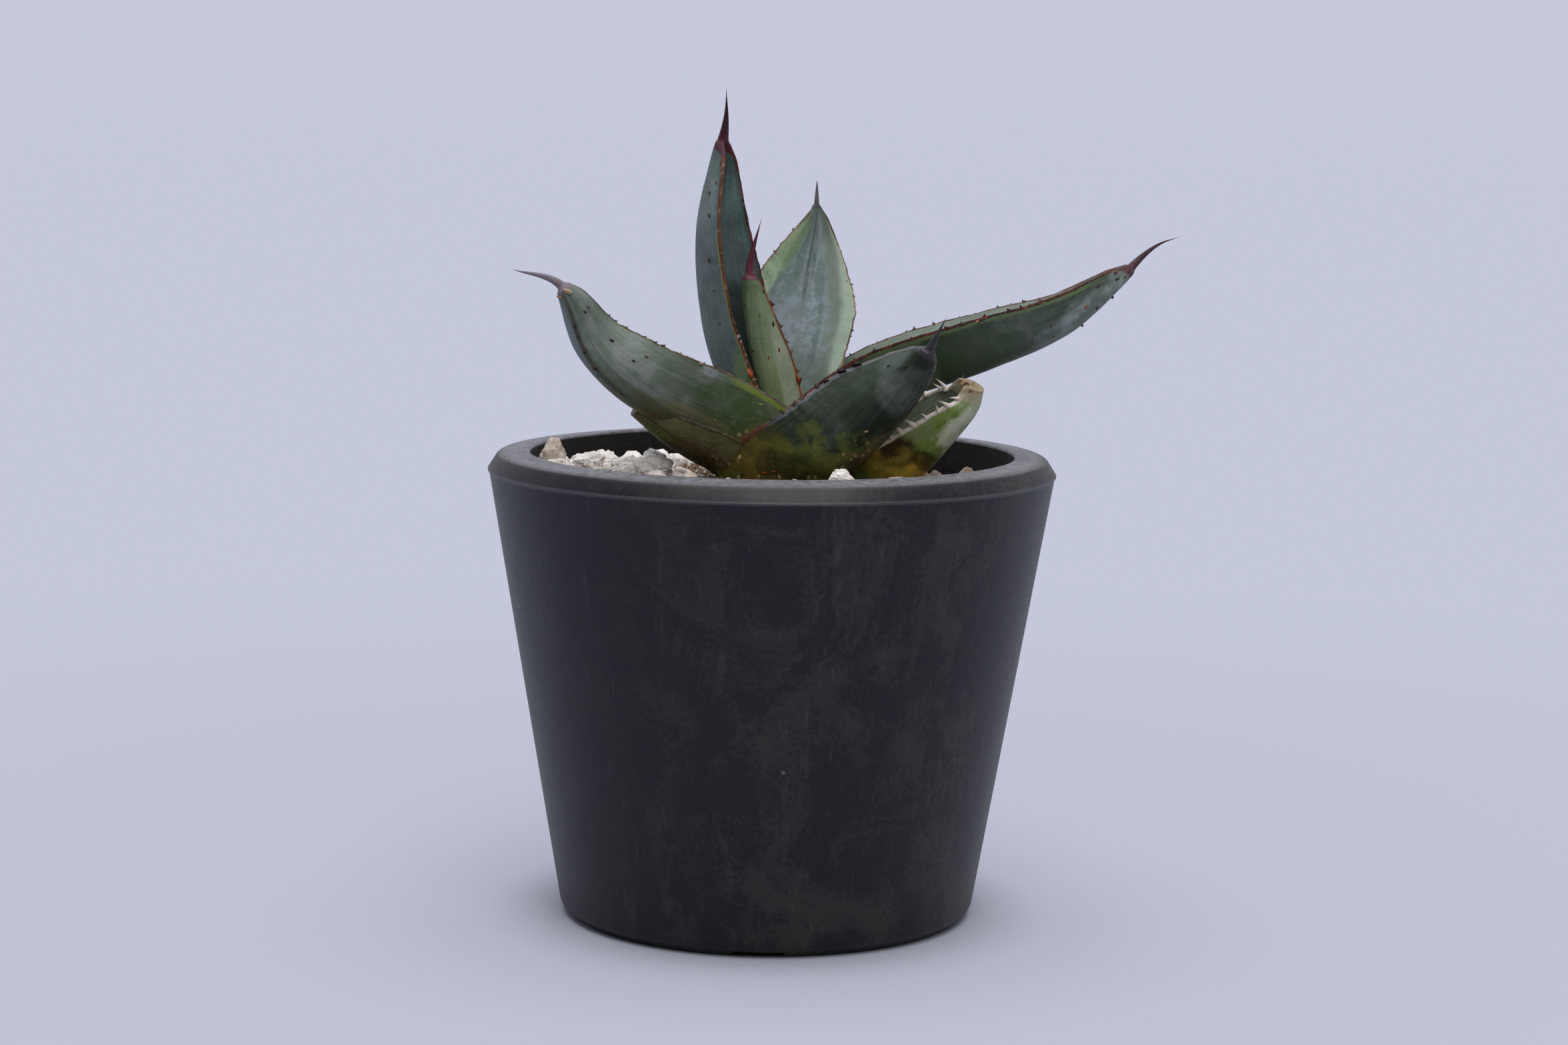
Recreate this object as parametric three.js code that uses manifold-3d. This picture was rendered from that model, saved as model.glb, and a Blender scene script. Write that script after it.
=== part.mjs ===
// A young agave in a charcoal plastic pot, topped with pumice. Millimetres, +Z up.
// The origin is on the pot's axis, in the plane of its foot. +X is to the right, -Y to the front.
import * as THREE from "three";
import { mergeVertices } from "three/addons/utils/BufferGeometryUtils.js";
import Module from "manifold-3d";

const wasm = await Module();
wasm.setup();

// Clearance between pieces that touch on the real plant: at a flat seat, and where a piece is
// cut to the shape of its neighbour, whose skin is moved out along its corners.
const SEAT_GAP = 0.3;
const CUT_GAP = 0.45;

// Pot: a plain tapered bucket with a thick bevelled rim.
const POT_SIDES = 60;
const RIM_RADIUS = 60;
const RIM_HEIGHT = 94.5;
const RING_OUTER_RADIUS = 57.8;
const RING_OUTER_HEIGHT = 98;
const RING_INNER_RADIUS = 51;
const RING_INNER_HEIGHT = 98.6;
const WALL_TOP_RADIUS = 59.6;
const FOOT_RADIUS = 43.7;
const FOOT_ROUNDING = 2.5;
const EDGE_BEVEL = 0.6;
const LIP_DEPTH = 9;
const INSIDE_TOP_RADIUS = 54;
const INSIDE_TOP_HEIGHT = 85;
const INSIDE_FOOT_RADIUS = 40;
const FLOOR_THICKNESS = 4;
const INSIDE_CORNER = 3;
const CORNER_STEPS = 3;

// Four shallow grooves under the foot lead water out; each holds one drainage hole.
const GROOVE_COUNT = 4;
const GROOVE_WIDTH = 10.6;
const GROOVE_DEPTH = 1.2;
const GROOVE_START = 13;
const GROOVE_END = 49;
const GROOVE_TURN = -92;
const DRAIN_RADIUS = 4;
const DRAIN_CIRCLE = 25;
const DRAIN_SIDES = 16;

// Potting mix: fills the pot up to a surface that falls towards the right and the back.
const SOIL_SURFACE = 89.5;
const SURFACE_FALL_RIGHT = 0.045;
const SURFACE_FALL_BACK = 0.03;
const WAVE_HEIGHT = 0.5;
const WAVES_PER_MM = [0.16, 0.13];
const WAVE_SHIFT = [1.3, -0.4];
const SURFACE_SIDES = 30;
const SURFACE_RINGS = [RING_INNER_RADIUS - SEAT_GAP, 36, 22, 10];
const MIX_SIDE_TOP = 82;
const MIX_SHOULDER = 85.8;
// A height that stands for "on the uneven surface" until the surface is laid.
const ABOVE = 1000;

// Stem: a short thick stump, its lower part in a plain hole of the potting mix.
const STEM_X = 0.5;
const STEM_Y = -1;
const STEM_RADIUS = 8;
const STEM_NECK_RADIUS = 6.5;
const STEM_TIP_RADIUS = 3.5;
const STEM_FOOT = 62;
const STEM_WAIST = 93.5;
const STEM_NECK = 97;
const STEM_TOP = 101;
const STEM_SIDES = 20;

// Pumice: a thin bed with larger stones sunk into it.
const BED_THICKNESS = 3;
const STONE_COUNT = 130;
const STONE_SIZE = [1.8, 4];
const STONE_SUNK = 0.25;
const STONE_CLEARING = 11;
const STONE_REACH = 49.5;
const STONE_SEED = 17;
const STONE_TILT = 0.9;
const GOLDEN_ANGLE = 2.39996;
// The large stones seen from the front: place, radius, how far the middle stands above the bed,
// and how tall the stone is for its width.
const SHOWN_STONES = [
  [-46.3, -1, 3.1, 1.4, 1.5],
  [-39, -4, 3.6, 0.8, 0.8],
  [-30.5, -5, 3.4, 0.6, 0.8],
  [-25, -6, 4.6, 1.6, 0.75],
  [5, -24, 2, 0.9, 0.9],
  [14.3, -24, 2.4, 2, 1.2],
  [25.5, -16, 2, 1.4, 1],
  [31.6, 5, 1.9, 1.4, 1.2],
  [34.7, 5, 2.2, 1.2, 0.9],
  [41.3, 5, 2, 1.6, 1.3],
];

// Leaves: rows of a section from the base to the spine's tip.
const BLADE_STATIONS = 12;
const SPINE_STATIONS = [0.06, 0.3, 0.6];
const SECTION_POINTS = 7;
const MARGIN_THICKNESS = 0.9;
const CHANNEL_ROUNDING = 0.3;
const KEEL_SHARPNESS = 1.7;
const KEEL_THINNING = 0.8;

// Marginal teeth vary in size and spacing.
const UNEVEN = [0.75, 1.25];
const TOOTH_LEAN = [-0.5, 0.3];
const TOOTH_SUNK = 0.7;
const TOOTH_BREADTH = 0.95;
const TOOTH_HALF_THICKNESS = 0.42;
const TOOTH_SEED = 100;
const PRICKLE_HEIGHT = 0.7;

// Each leaf, youngest first, so that an older leaf is cut clear of the ones it clasps.
//   midrib   points along the bottom of the channel, from the stem to the spine's tip
//   face     where the channel looks, at the base and at the tip
//   half     half of the blade's greatest width, measured over the fold
//   base     width at the stem, as a share of the greatest
//   widest   where the blade is widest, as a share of its length
//   taper    how late the blade narrows towards its spine
//   fold     slope of each half out of the flat, in degrees, at the base and at the tip
//   thick    thickness along the keel, at the base and at the tip
//   end      half of the blade's width where its spine begins, or where it was cut
//   spine    length of the terminal spine, its radius at the root, how hollow its taper is,
//            and how far its root lies below the channel's bottom
//   teeth    spacing and height of the marginal teeth
//   toothed  where the teeth begin and end, as shares of the blade's length
//   prickles places of the small prickles on the keel, as shares of the blade's length
const LEAVES = [
  {
    name: "leaf_young_centre",
    midrib: [[1.5, 1, 98], [-0.4, 0.2, 110.7], [-3.4, -0.6, 123], [-4.8, -1.5, 137], [-2.9, -1, 148]],
    face: [[0.75, 0.5, 0.2], [0.76, 0.56, 0.2]],
    half: 6.2, base: 0.9, widest: 0.38, taper: 2, fold: [62, 65], thick: [3.2, 2.2],
    end: 1.3, spine: [13, 1.1, 1.3, 0.7], teeth: [3.4, 0.8], toothed: [0.24, 0.92], prickles: [],
    colour: 0x7f9b6e,
  },
  {
    name: "leaf_tall_left",
    midrib: [
      [-2, 3, 96], [-7, 4.2, 110.4], [-12.2, 7, 125.2],
      [-14.1, 6.5, 144.5], [-10.7, 6.1, 165], [-10.7, 2.2, 175.3],
    ],
    face: [[0.8, -0.5, 0.3], [0.71, -0.63, 0]],
    half: 11.6, base: 0.8, widest: 0.4, taper: 2.2, fold: [55, 58], thick: [4, 2.2],
    end: 1.7, spine: [13.3, 1.3, 1.6, 0.7], teeth: [3, 0.8], toothed: [0.1, 0.45], prickles: [0.86],
    colour: 0x4f6a62,
  },
  {
    name: "leaf_back",
    midrib: [[3, 5, 98], [3.7, 11.5, 114.6], [6, 17, 131], [8.7, 21.6, 146.4], [8.8, 21.4, 155.1]],
    face: [[-0.28, -0.97, 0.4], [0.3, -0.95, 0.12]],
    half: 12.6, base: 0.75, widest: 0.57, taper: 1.35, fold: [27, 17], thick: [4, 2],
    end: 0.8, spine: [5.5, 0.6, 0.7, 0.6], teeth: [2, 0.5], toothed: [0.24, 0.9], prickles: [],
    colour: 0x8ba39a,
  },
  {
    name: "leaf_long_right",
    midrib: [
      [2.2, 2.2, 99], [21.4, 5.3, 110.9], [44.3, 2.4, 119.2],
      [61.6, 0.2, 127.2], [77.8, 3, 141.7], [85.3, 0.4, 145.3],
    ],
    face: [[-0.45, -0.02, 0.87], [-0.44, 0.06, 0.89]],
    half: 12.3, base: 0.85, widest: 0.38, taper: 2.36, fold: [46, 50], thick: [5, 2.2],
    end: 1.7, spine: [14, 1, 1.4, 0.7], teeth: [4.2, 0.8], toothed: [0.2, 0.85], prickles: [0.82, 0.9],
    colour: 0x4a6355,
  },
  {
    name: "leaf_front_left",
    midrib: [
      [3.3, -5.8, 96.7], [-14.6, -9.8, 105.7], [-28, -17, 112.8],
      [-37.2, -17.2, 121.3], [-43.3, -19.5, 134], [-53.6, -21.3, 137.3],
    ],
    face: [[0.51, 0.45, 0.67], [0.12, 0.78, 0.34]],
    half: 11.8, base: 0.9, widest: 0.2, taper: 2.8, fold: [41, 42], thick: [5, 2.5],
    end: 1.6, spine: [11.5, 0.95, 1.1, 2.2], teeth: [3.5, 0.7], toothed: [0.24, 0.9],
    prickles: [0.62, 0.7, 0.79, 0.88],
    colour: 0x5d7568,
  },
  {
    name: "leaf_front_right",
    midrib: [
      [-5.5, -4.7, 91], [10.3, -16.9, 98.4], [21, -20.6, 108],
      [29.3, -22.9, 118.5], [34.8, -28.1, 129.4],
    ],
    face: [[-0.47, 0.78, 0.65], [0.15, 0.79, 0.39]],
    half: 13.1, base: 0.85, widest: 0.4, taper: 3, fold: [20, 53], thick: [5, 2.5],
    end: 1.6, spine: [8.5, 1.1, 1.3, 0.8], teeth: [3.2, 0.9], toothed: [0.24, 0.9], prickles: [],
    colour: 0x586f60,
  },
  {
    name: "leaf_trimmed_right",
    midrib: [[6.2, -3.1, 93], [22.9, -7, 93], [38.1, -8.5, 107.6], [41, -10.3, 114.2]],
    face: [[-0.36, 0.38, 0.85], [-0.54, -0.42, 0.53]],
    half: 10.7, base: 0.85, widest: 0.41, taper: 2.6, fold: [45, 56], thick: [5, 3],
    end: 2.8, spine: [0, 0, 1, 0], teeth: [2.9, 2.1], toothed: [0.3, 0.9], prickles: [],
    colour: 0x6f8a4c,
  },
  {
    name: "leaf_old_stub",
    midrib: [[-3, -4, 94], [-11, -8, 98.5], [-20, -11, 103], [-28, -13, 109]],
    face: [[0.5, 0.3, 0.8], [0.6, 0.4, 0.7]],
    half: 8.5, base: 0.95, widest: 0.3, taper: 2, fold: [22, 22], thick: [5, 2.4],
    end: 2.6, spine: [0, 0, 1, 0], teeth: [0, 0], toothed: [0, 0], prickles: [],
    colour: 0x5a5236,
  },
];

// ---------------------------------------------------------------- solids

// Repeatable random numbers from 0 to 1.
function randomFrom(seed) {
  let state = seed;
  return () => {
    state = (state * 1664525 + 1013904223) % 4294967296;
    return state / 4294967296;
  };
}

// A random number between two limits.
function between([low, high], random) {
  return THREE.MathUtils.lerp(low, high, random());
}

// Moves every corner of a closed geometry out along its normal.
function growSkin(geometry, grow) {
  geometry.computeVertexNormals();
  const { position, normal } = geometry.attributes;
  const point = new THREE.Vector3();
  const outward = new THREE.Vector3();
  for (let index = 0; index < position.count; index += 1) {
    point.fromBufferAttribute(position, index);
    outward.fromBufferAttribute(normal, index);
    point.addScaledVector(outward, grow);
    position.setXYZ(index, point.x, point.y, point.z);
  }
}

// A geometry as a solid, with its skin moved out by grow.
function solidFrom(geometry, grow = 0) {
  const bare = new THREE.BufferGeometry();
  bare.setAttribute("position", geometry.getAttribute("position"));
  if (geometry.index) {
    bare.setIndex(geometry.index);
  }
  const merged = mergeVertices(bare, 1e-4);
  if (grow > 0) {
    growSkin(merged, grow);
  }
  return new wasm.Manifold(
    new wasm.Mesh({
      numProp: 3,
      vertProperties: new Float32Array(merged.attributes.position.array),
      triVerts: new Uint32Array(merged.index.array),
    }),
  );
}

function geometryFrom(solid) {
  const mesh = solid.getMesh();
  const corners = new Float32Array(mesh.vertProperties);
  const geometry = new THREE.BufferGeometry();
  geometry.setAttribute("position", new THREE.BufferAttribute(corners, 3));
  geometry.setIndex(new THREE.BufferAttribute(new Uint32Array(mesh.triVerts), 1));
  const flat = geometry.toNonIndexed();
  flat.computeVertexNormals();
  return flat;
}

// The largest body of a solid: cutting can leave crumbs.
function largestBody(solid) {
  return solid.decompose().sort((a, b) => b.volume() - a.volume())[0];
}

function joined(solids) {
  return solids.reduce((all, next) => all.add(next));
}

// A turned solid about the Z axis, from a profile of [radius, height] that runs
// anticlockwise from the axis back to the axis.
function turned(profile, sides) {
  const points = profile.map(([radius, height]) => new THREE.Vector2(radius, height));
  return new THREE.LatheGeometry(points, sides).rotateX(Math.PI / 2);
}

// Points of a quarter round between two edges of a profile.
function roundedCorner(centreRadius, centreHeight, radius, fromDegrees, toDegrees) {
  const points = [];
  for (let step = 0; step <= CORNER_STEPS; step += 1) {
    const degrees = THREE.MathUtils.lerp(fromDegrees, toDegrees, step / CORNER_STEPS);
    const angle = THREE.MathUtils.degToRad(degrees);
    points.push([centreRadius + radius * Math.cos(angle), centreHeight + radius * Math.sin(angle)]);
  }
  return points;
}

// ---------------------------------------------------------------- pot

// Radius of the pot's outer wall at a height.
function wallRadius(height) {
  return THREE.MathUtils.lerp(FOOT_RADIUS, WALL_TOP_RADIUS, height / RIM_HEIGHT);
}

// Radius of the pot's inner wall below the lip, at a height.
function insideRadius(height) {
  const share = (height - FLOOR_THICKNESS) / (INSIDE_TOP_HEIGHT - FLOOR_THICKNESS);
  return THREE.MathUtils.lerp(INSIDE_FOOT_RADIUS, INSIDE_TOP_RADIUS, share);
}

function potShell() {
  const cornerRadius = wallRadius(FOOT_ROUNDING) - FOOT_ROUNDING;
  const insideCornerHeight = FLOOR_THICKNESS + INSIDE_CORNER;
  const insideCornerRadius = insideRadius(insideCornerHeight) - INSIDE_CORNER;
  return turned(
    [
      [0, 0],
      ...roundedCorner(cornerRadius, FOOT_ROUNDING, FOOT_ROUNDING, -90, -10),
      [WALL_TOP_RADIUS, RIM_HEIGHT - EDGE_BEVEL],
      [RIM_RADIUS, RIM_HEIGHT],
      [RIM_RADIUS - EDGE_BEVEL / 2, RIM_HEIGHT + EDGE_BEVEL],
      [RING_OUTER_RADIUS, RING_OUTER_HEIGHT],
      [RING_OUTER_RADIUS - EDGE_BEVEL, RING_OUTER_HEIGHT + EDGE_BEVEL / 3],
      [RING_INNER_RADIUS + EDGE_BEVEL, RING_INNER_HEIGHT],
      [RING_INNER_RADIUS, RING_INNER_HEIGHT - EDGE_BEVEL],
      [RING_INNER_RADIUS, RING_INNER_HEIGHT - LIP_DEPTH],
      [INSIDE_TOP_RADIUS, INSIDE_TOP_HEIGHT],
      ...roundedCorner(insideCornerRadius, insideCornerHeight, INSIDE_CORNER, 0, -90),
      [0, FLOOR_THICKNESS],
    ],
    POT_SIDES,
  );
}

// One groove across the foot with its drainage hole, along +X before it is turned.
function drainCutter(turn) {
  const grooveLength = GROOVE_END - GROOVE_START;
  const groove = new THREE.BoxGeometry(grooveLength, GROOVE_WIDTH, GROOVE_DEPTH * 2);
  groove.translate(GROOVE_START + grooveLength / 2, 0, 0).rotateZ(turn);
  const holeLength = FLOOR_THICKNESS * 3;
  const hole = new THREE.CylinderGeometry(DRAIN_RADIUS, DRAIN_RADIUS, holeLength, DRAIN_SIDES);
  hole.rotateX(Math.PI / 2).translate(DRAIN_CIRCLE, 0, 0).rotateZ(turn);
  return solidFrom(groove).add(solidFrom(hole));
}

function pot() {
  let body = solidFrom(potShell());
  for (let index = 0; index < GROOVE_COUNT; index += 1) {
    const turn = THREE.MathUtils.degToRad(GROOVE_TURN + (360 / GROOVE_COUNT) * index);
    body = body.subtract(drainCutter(turn));
  }
  return body;
}

// ---------------------------------------------------------------- potting mix and stem

// Height of the potting mix: it falls to the right and to the back, with slow waves.
function surfaceHeight(x, y) {
  const alongX = Math.sin(x * WAVES_PER_MM[0] + WAVE_SHIFT[0]);
  const alongY = Math.cos(y * WAVES_PER_MM[1] + WAVE_SHIFT[1]);
  const slope = SURFACE_FALL_RIGHT * x + SURFACE_FALL_BACK * y;
  return SOIL_SURFACE - slope + WAVE_HEIGHT * alongX * alongY;
}

// Drops the points of a turned geometry that wait at the height ABOVE onto the uneven surface.
function layOnSurface(geometry, lift) {
  const position = geometry.getAttribute("position");
  for (let index = 0; index < position.count; index += 1) {
    const surface = surfaceHeight(position.getX(index), position.getY(index));
    const height = position.getZ(index);
    position.setZ(index, height < ABOVE ? height : surface + lift);
  }
  return geometry;
}

function soil(grow) {
  const floor = FLOOR_THICKNESS + SEAT_GAP;
  const cornerHeight = floor + INSIDE_CORNER;
  const cornerRadius = insideRadius(cornerHeight) - INSIDE_CORNER - SEAT_GAP;
  const body = turned(
    [
      [0, floor],
      ...roundedCorner(cornerRadius, cornerHeight, INSIDE_CORNER, -90, 0),
      [insideRadius(MIX_SIDE_TOP) - SEAT_GAP, MIX_SIDE_TOP],
      [SURFACE_RINGS[0], MIX_SHOULDER],
      ...SURFACE_RINGS.map((radius) => [radius, ABOVE]),
      [0, ABOVE],
    ],
    SURFACE_SIDES,
  );
  return solidFrom(layOnSurface(body, 0), grow);
}

function stem(grow) {
  const body = turned(
    [
      [0, STEM_FOOT],
      [STEM_RADIUS, STEM_FOOT],
      [STEM_RADIUS, STEM_WAIST],
      [STEM_NECK_RADIUS, STEM_NECK],
      [STEM_TIP_RADIUS, STEM_TOP],
      [0, STEM_TOP],
    ],
    STEM_SIDES,
  );
  return solidFrom(body.translate(STEM_X, STEM_Y, 0), grow);
}

// ---------------------------------------------------------------- leaves

function midribCurve(leaf) {
  const points = leaf.midrib.map((point) => new THREE.Vector3(...point));
  return new THREE.CatmullRomCurve3(points, false, "catmullrom", 0.5);
}

// Where the section sits on the midrib and how it is turned: along, out of the channel, across.
function sectionFrame(leaf, curve, share, along) {
  const origin = curve.getPointAt(along);
  const ahead = curve.getTangentAt(along);
  const face = new THREE.Vector3(...leaf.face[0]).lerp(new THREE.Vector3(...leaf.face[1]), share);
  const out = face.addScaledVector(ahead, -face.dot(ahead)).normalize();
  const across = new THREE.Vector3().crossVectors(ahead, out);
  return { origin, ahead, out, across };
}

// Half of the blade's width over the fold, at a share of its length.
function halfWidth(leaf, share) {
  if (share < leaf.widest) {
    const rise = Math.sin(((share / leaf.widest) * Math.PI) / 2);
    return leaf.half * (leaf.base + (1 - leaf.base) * rise);
  }
  const narrowing = ((share - leaf.widest) / (1 - leaf.widest)) ** leaf.taper;
  return leaf.end + (leaf.half - leaf.end) * (1 - narrowing);
}

// A point of the channel's face and the one below it on the back of the blade.
// side runs from -1 at one margin to 1 at the other.
function bladePair(leaf, frame, share, side) {
  const width = halfWidth(leaf, share);
  const fold = THREE.MathUtils.degToRad(THREE.MathUtils.lerp(...leaf.fold, share));
  const spread = width * Math.cos(fold);
  const fullRise = Math.hypot(1, CHANNEL_ROUNDING) - CHANNEL_ROUNDING;
  const depth = (width * Math.sin(fold)) / fullRise;
  const rise = depth * (Math.hypot(side, CHANNEL_ROUNDING) - CHANNEL_ROUNDING);
  const slope = Math.atan2((depth * side) / Math.hypot(side, CHANNEL_ROUNDING), spread);
  const keel = THREE.MathUtils.lerp(...leaf.thick, share ** KEEL_THINNING);
  const fullness = 1 - Math.abs(side) ** KEEL_SHARPNESS;
  const thickness = THREE.MathUtils.lerp(MARGIN_THICKNESS, keel, fullness);
  const top = frame.origin.clone();
  top.addScaledVector(frame.across, spread * side);
  top.addScaledVector(frame.out, rise);
  const bottom = top.clone();
  bottom.addScaledVector(frame.across, thickness * Math.sin(slope));
  bottom.addScaledVector(frame.out, -thickness * Math.cos(slope));
  return [top, bottom];
}

// The rows of the blade. Each row is a list of points of the face and of the back.
function bladeRows(leaf, curve, bladeShare) {
  const rows = [];
  for (let station = 0; station < BLADE_STATIONS; station += 1) {
    const share = station / (BLADE_STATIONS - 1);
    const frame = sectionFrame(leaf, curve, share, share * bladeShare);
    const pairs = [];
    for (let index = 0; index < SECTION_POINTS; index += 1) {
      const side = (2 * index) / (SECTION_POINTS - 1) - 1;
      pairs.push(bladePair(leaf, frame, share, side));
    }
    rows.push(pairs);
  }
  return rows;
}

// The rows of the terminal spine, a cone that grows out of the keel's end.
function spineRows(leaf, curve, bladeShare) {
  const rows = [];
  for (const along of SPINE_STATIONS) {
    const frame = sectionFrame(leaf, curve, 1, THREE.MathUtils.lerp(bladeShare, 1, along));
    const radius = leaf.spine[1] * (1 - along) ** leaf.spine[2];
    const drop = leaf.spine[3] * (1 - along);
    const pairs = [];
    for (let index = 0; index < SECTION_POINTS; index += 1) {
      const angle = Math.PI * (1 - (index + 0.5) / SECTION_POINTS);
      const middle = frame.origin.clone();
      middle.addScaledVector(frame.out, -drop);
      middle.addScaledVector(frame.across, radius * Math.cos(angle));
      const top = middle.clone().addScaledVector(frame.out, radius * Math.sin(angle));
      const bottom = middle.clone().addScaledVector(frame.out, -radius * Math.sin(angle));
      pairs.push([top, bottom]);
    }
    rows.push(pairs);
  }
  return rows;
}

// A leaf's curve, its rows and, where it keeps its spine, the spine's tip.
function leafShape(leaf) {
  const curve = midribCurve(leaf);
  const length = curve.getLength();
  const bladeLength = length - leaf.spine[0];
  const bladeShare = bladeLength / length;
  const rows = bladeRows(leaf, curve, bladeShare);
  if (leaf.spine[0] === 0) {
    return { curve, bladeLength, bladeShare, rows, tip: null };
  }
  rows.push(...spineRows(leaf, curve, bladeShare));
  return { curve, bladeLength, bladeShare, rows, tip: curve.getPointAt(1) };
}

// Skins the rows into one closed body, with both faces split into triangles alike.
function skinned(rows, tip, grow) {
  const corners = [];
  const triangle = (a, b, c) => corners.push(a, b, c);
  const quad = (a, b, c, d) => {
    triangle(a, b, c);
    triangle(a, c, d);
  };
  const last = SECTION_POINTS - 1;
  for (let row = 0; row < rows.length - 1; row += 1) {
    const here = rows[row];
    const next = rows[row + 1];
    for (let index = 0; index < last; index += 1) {
      quad(here[index][0], here[index + 1][0], next[index + 1][0], next[index][0]);
      triangle(here[index][1], next[index + 1][1], here[index + 1][1]);
      triangle(here[index][1], next[index][1], next[index + 1][1]);
    }
    quad(here[last][0], here[last][1], next[last][1], next[last][0]);
    quad(here[0][1], here[0][0], next[0][0], next[0][1]);
  }
  const first = rows[0];
  const end = rows[rows.length - 1];
  for (let index = 0; index < last; index += 1) {
    quad(first[index][0], first[index][1], first[index + 1][1], first[index + 1][0]);
    if (tip) {
      triangle(end[index][0], end[index + 1][0], tip);
      triangle(end[index + 1][1], end[index][1], tip);
    } else {
      quad(end[index][1], end[index][0], end[index + 1][0], end[index + 1][1]);
    }
  }
  if (tip) {
    triangle(end[last][0], end[last][1], tip);
    triangle(end[0][1], end[0][0], tip);
  }
  return solidFrom(new THREE.BufferGeometry().setFromPoints(corners), grow);
}

// A small three-sided tooth whose root is sunk into the leaf.
function tooth(root, outward, ahead, height, lean, grow) {
  const length = height + TOOTH_SUNK;
  const cone = new THREE.ConeGeometry(1, length, 3, 1);
  cone.translate(0, length / 2 - TOOTH_SUNK, 0);
  const forward = ahead.clone().addScaledVector(outward, -ahead.dot(outward)).normalize();
  const sideways = new THREE.Vector3().crossVectors(forward, outward);
  const tilted = outward.clone().addScaledVector(forward, lean);
  forward.multiplyScalar(height * TOOTH_BREADTH);
  sideways.multiplyScalar(TOOTH_HALF_THICKNESS);
  cone.applyMatrix4(new THREE.Matrix4().makeBasis(forward, tilted, sideways));
  return solidFrom(cone.translate(root.x, root.y, root.z), grow);
}

// A tooth on one margin. It points away from the blade's middle.
function marginTooth(leaf, shape, share, side, random, grow) {
  const frame = sectionFrame(leaf, shape.curve, share, share * shape.bladeShare);
  const [edgeTop, edgeBottom] = bladePair(leaf, frame, share, side);
  const [innerTop, innerBottom] = bladePair(leaf, frame, share, side * 0.8);
  const root = edgeTop.lerp(edgeBottom, 0.5);
  const outward = root.clone().sub(innerTop.lerp(innerBottom, 0.5)).normalize();
  const height = leaf.teeth[1] * between(UNEVEN, random);
  return tooth(root, outward, frame.ahead, height, between(TOOTH_LEAN, random), grow);
}

// A prickle on the keel. It points down out of the back of the blade.
function keelPrickle(leaf, shape, share, random, grow) {
  const frame = sectionFrame(leaf, shape.curve, share, share * shape.bladeShare);
  const root = bladePair(leaf, frame, share, 0)[1];
  const outward = root.clone().sub(frame.origin).normalize();
  return tooth(root, outward, frame.ahead, PRICKLE_HEIGHT, between(TOOTH_LEAN, random), grow);
}

// The whole leaf. Its teeth are spaced unevenly along both margins.
function leafSolid(leaf, index, grow) {
  const shape = leafShape(leaf);
  const random = randomFrom(TOOTH_SEED + index);
  const solids = [skinned(shape.rows, shape.tip, grow)];
  for (const side of leaf.teeth[0] > 0 ? [-1, 1] : []) {
    let share = leaf.toothed[0];
    while (share < leaf.toothed[1]) {
      solids.push(marginTooth(leaf, shape, share, side, random, grow));
      share += (leaf.teeth[0] * between(UNEVEN, random)) / shape.bladeLength;
    }
  }
  for (const share of leaf.prickles) {
    solids.push(keelPrickle(leaf, shape, share, random, grow));
  }
  return joined(solids);
}

// ---------------------------------------------------------------- pumice

// One rough stone: a 20-sided lump, squashed and turned at random. Its middle stands
// above the bed's top by the lift.
function stone(random, x, y, size, lift, tall) {
  const lump = new THREE.IcosahedronGeometry(size, 0);
  lump.scale(between([0.85, 1.2], random), between([0.8, 1.1], random), tall);
  lump.rotateX(between([0, STONE_TILT], random) / (1 + lift));
  lump.rotateZ(between([0, Math.PI * 2], random));
  return solidFrom(lump.translate(x, y, surfaceHeight(x, y) + BED_THICKNESS + lift));
}

// The bed lies over the potting mix, and fills up to the pot's wall.
function bed() {
  const profile = [
    [0, INSIDE_TOP_HEIGHT],
    [SURFACE_RINGS[0], INSIDE_TOP_HEIGHT],
    ...SURFACE_RINGS.map((radius) => [radius, ABOVE]),
    [0, ABOVE],
  ];
  return solidFrom(layOnSurface(turned(profile, SURFACE_SIDES), BED_THICKNESS));
}

// The bed with its stones, which sit in the even spiral of a seed head.
function pumice() {
  const random = randomFrom(STONE_SEED);
  const solids = [bed()];
  for (let index = 0; index < STONE_COUNT; index += 1) {
    const angle = index * GOLDEN_ANGLE;
    const size = THREE.MathUtils.lerp(...STONE_SIZE, random() ** 2);
    const spiral = THREE.MathUtils.lerp(STONE_CLEARING, STONE_REACH, Math.sqrt(index / STONE_COUNT));
    const radius = Math.min(spiral, STONE_REACH - size);
    const x = radius * Math.cos(angle);
    const y = radius * Math.sin(angle);
    solids.push(stone(random, x, y, size, -STONE_SUNK * size, between([0.6, 0.9], random)));
  }
  for (const [x, y, size, lift, tall] of SHOWN_STONES) {
    solids.push(stone(random, x, y, size, lift, tall));
  }
  return joined(solids).subtract(soil(CUT_GAP));
}

// ---------------------------------------------------------------- assembly

const agave = new THREE.Group();

function addPiece(name, solid, colour, roughness) {
  const material = new THREE.MeshStandardMaterial({ color: colour, roughness, metalness: 0 });
  const mesh = new THREE.Mesh(geometryFrom(largestBody(solid)), material);
  mesh.name = name;
  agave.add(mesh);
}

addPiece("pot", pot(), 0x2b2c31, 0.6);
addPiece("stem", stem(0), 0x6b6548, 0.85);

// Every leaf is cut clear of the stem and of the younger leaves that it clasps.
let taken = stem(CUT_GAP);
LEAVES.forEach((leaf, index) => {
  addPiece(leaf.name, leafSolid(leaf, index, 0).subtract(taken), leaf.colour, 0.55);
  taken = taken.add(leafSolid(leaf, index, CUT_GAP));
});
addPiece("soil", soil(0).subtract(taken), 0x3a3129, 0.95);
addPiece("pumice", pumice().subtract(taken), 0xd9d2c4, 0.9);

export default agave;
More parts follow.
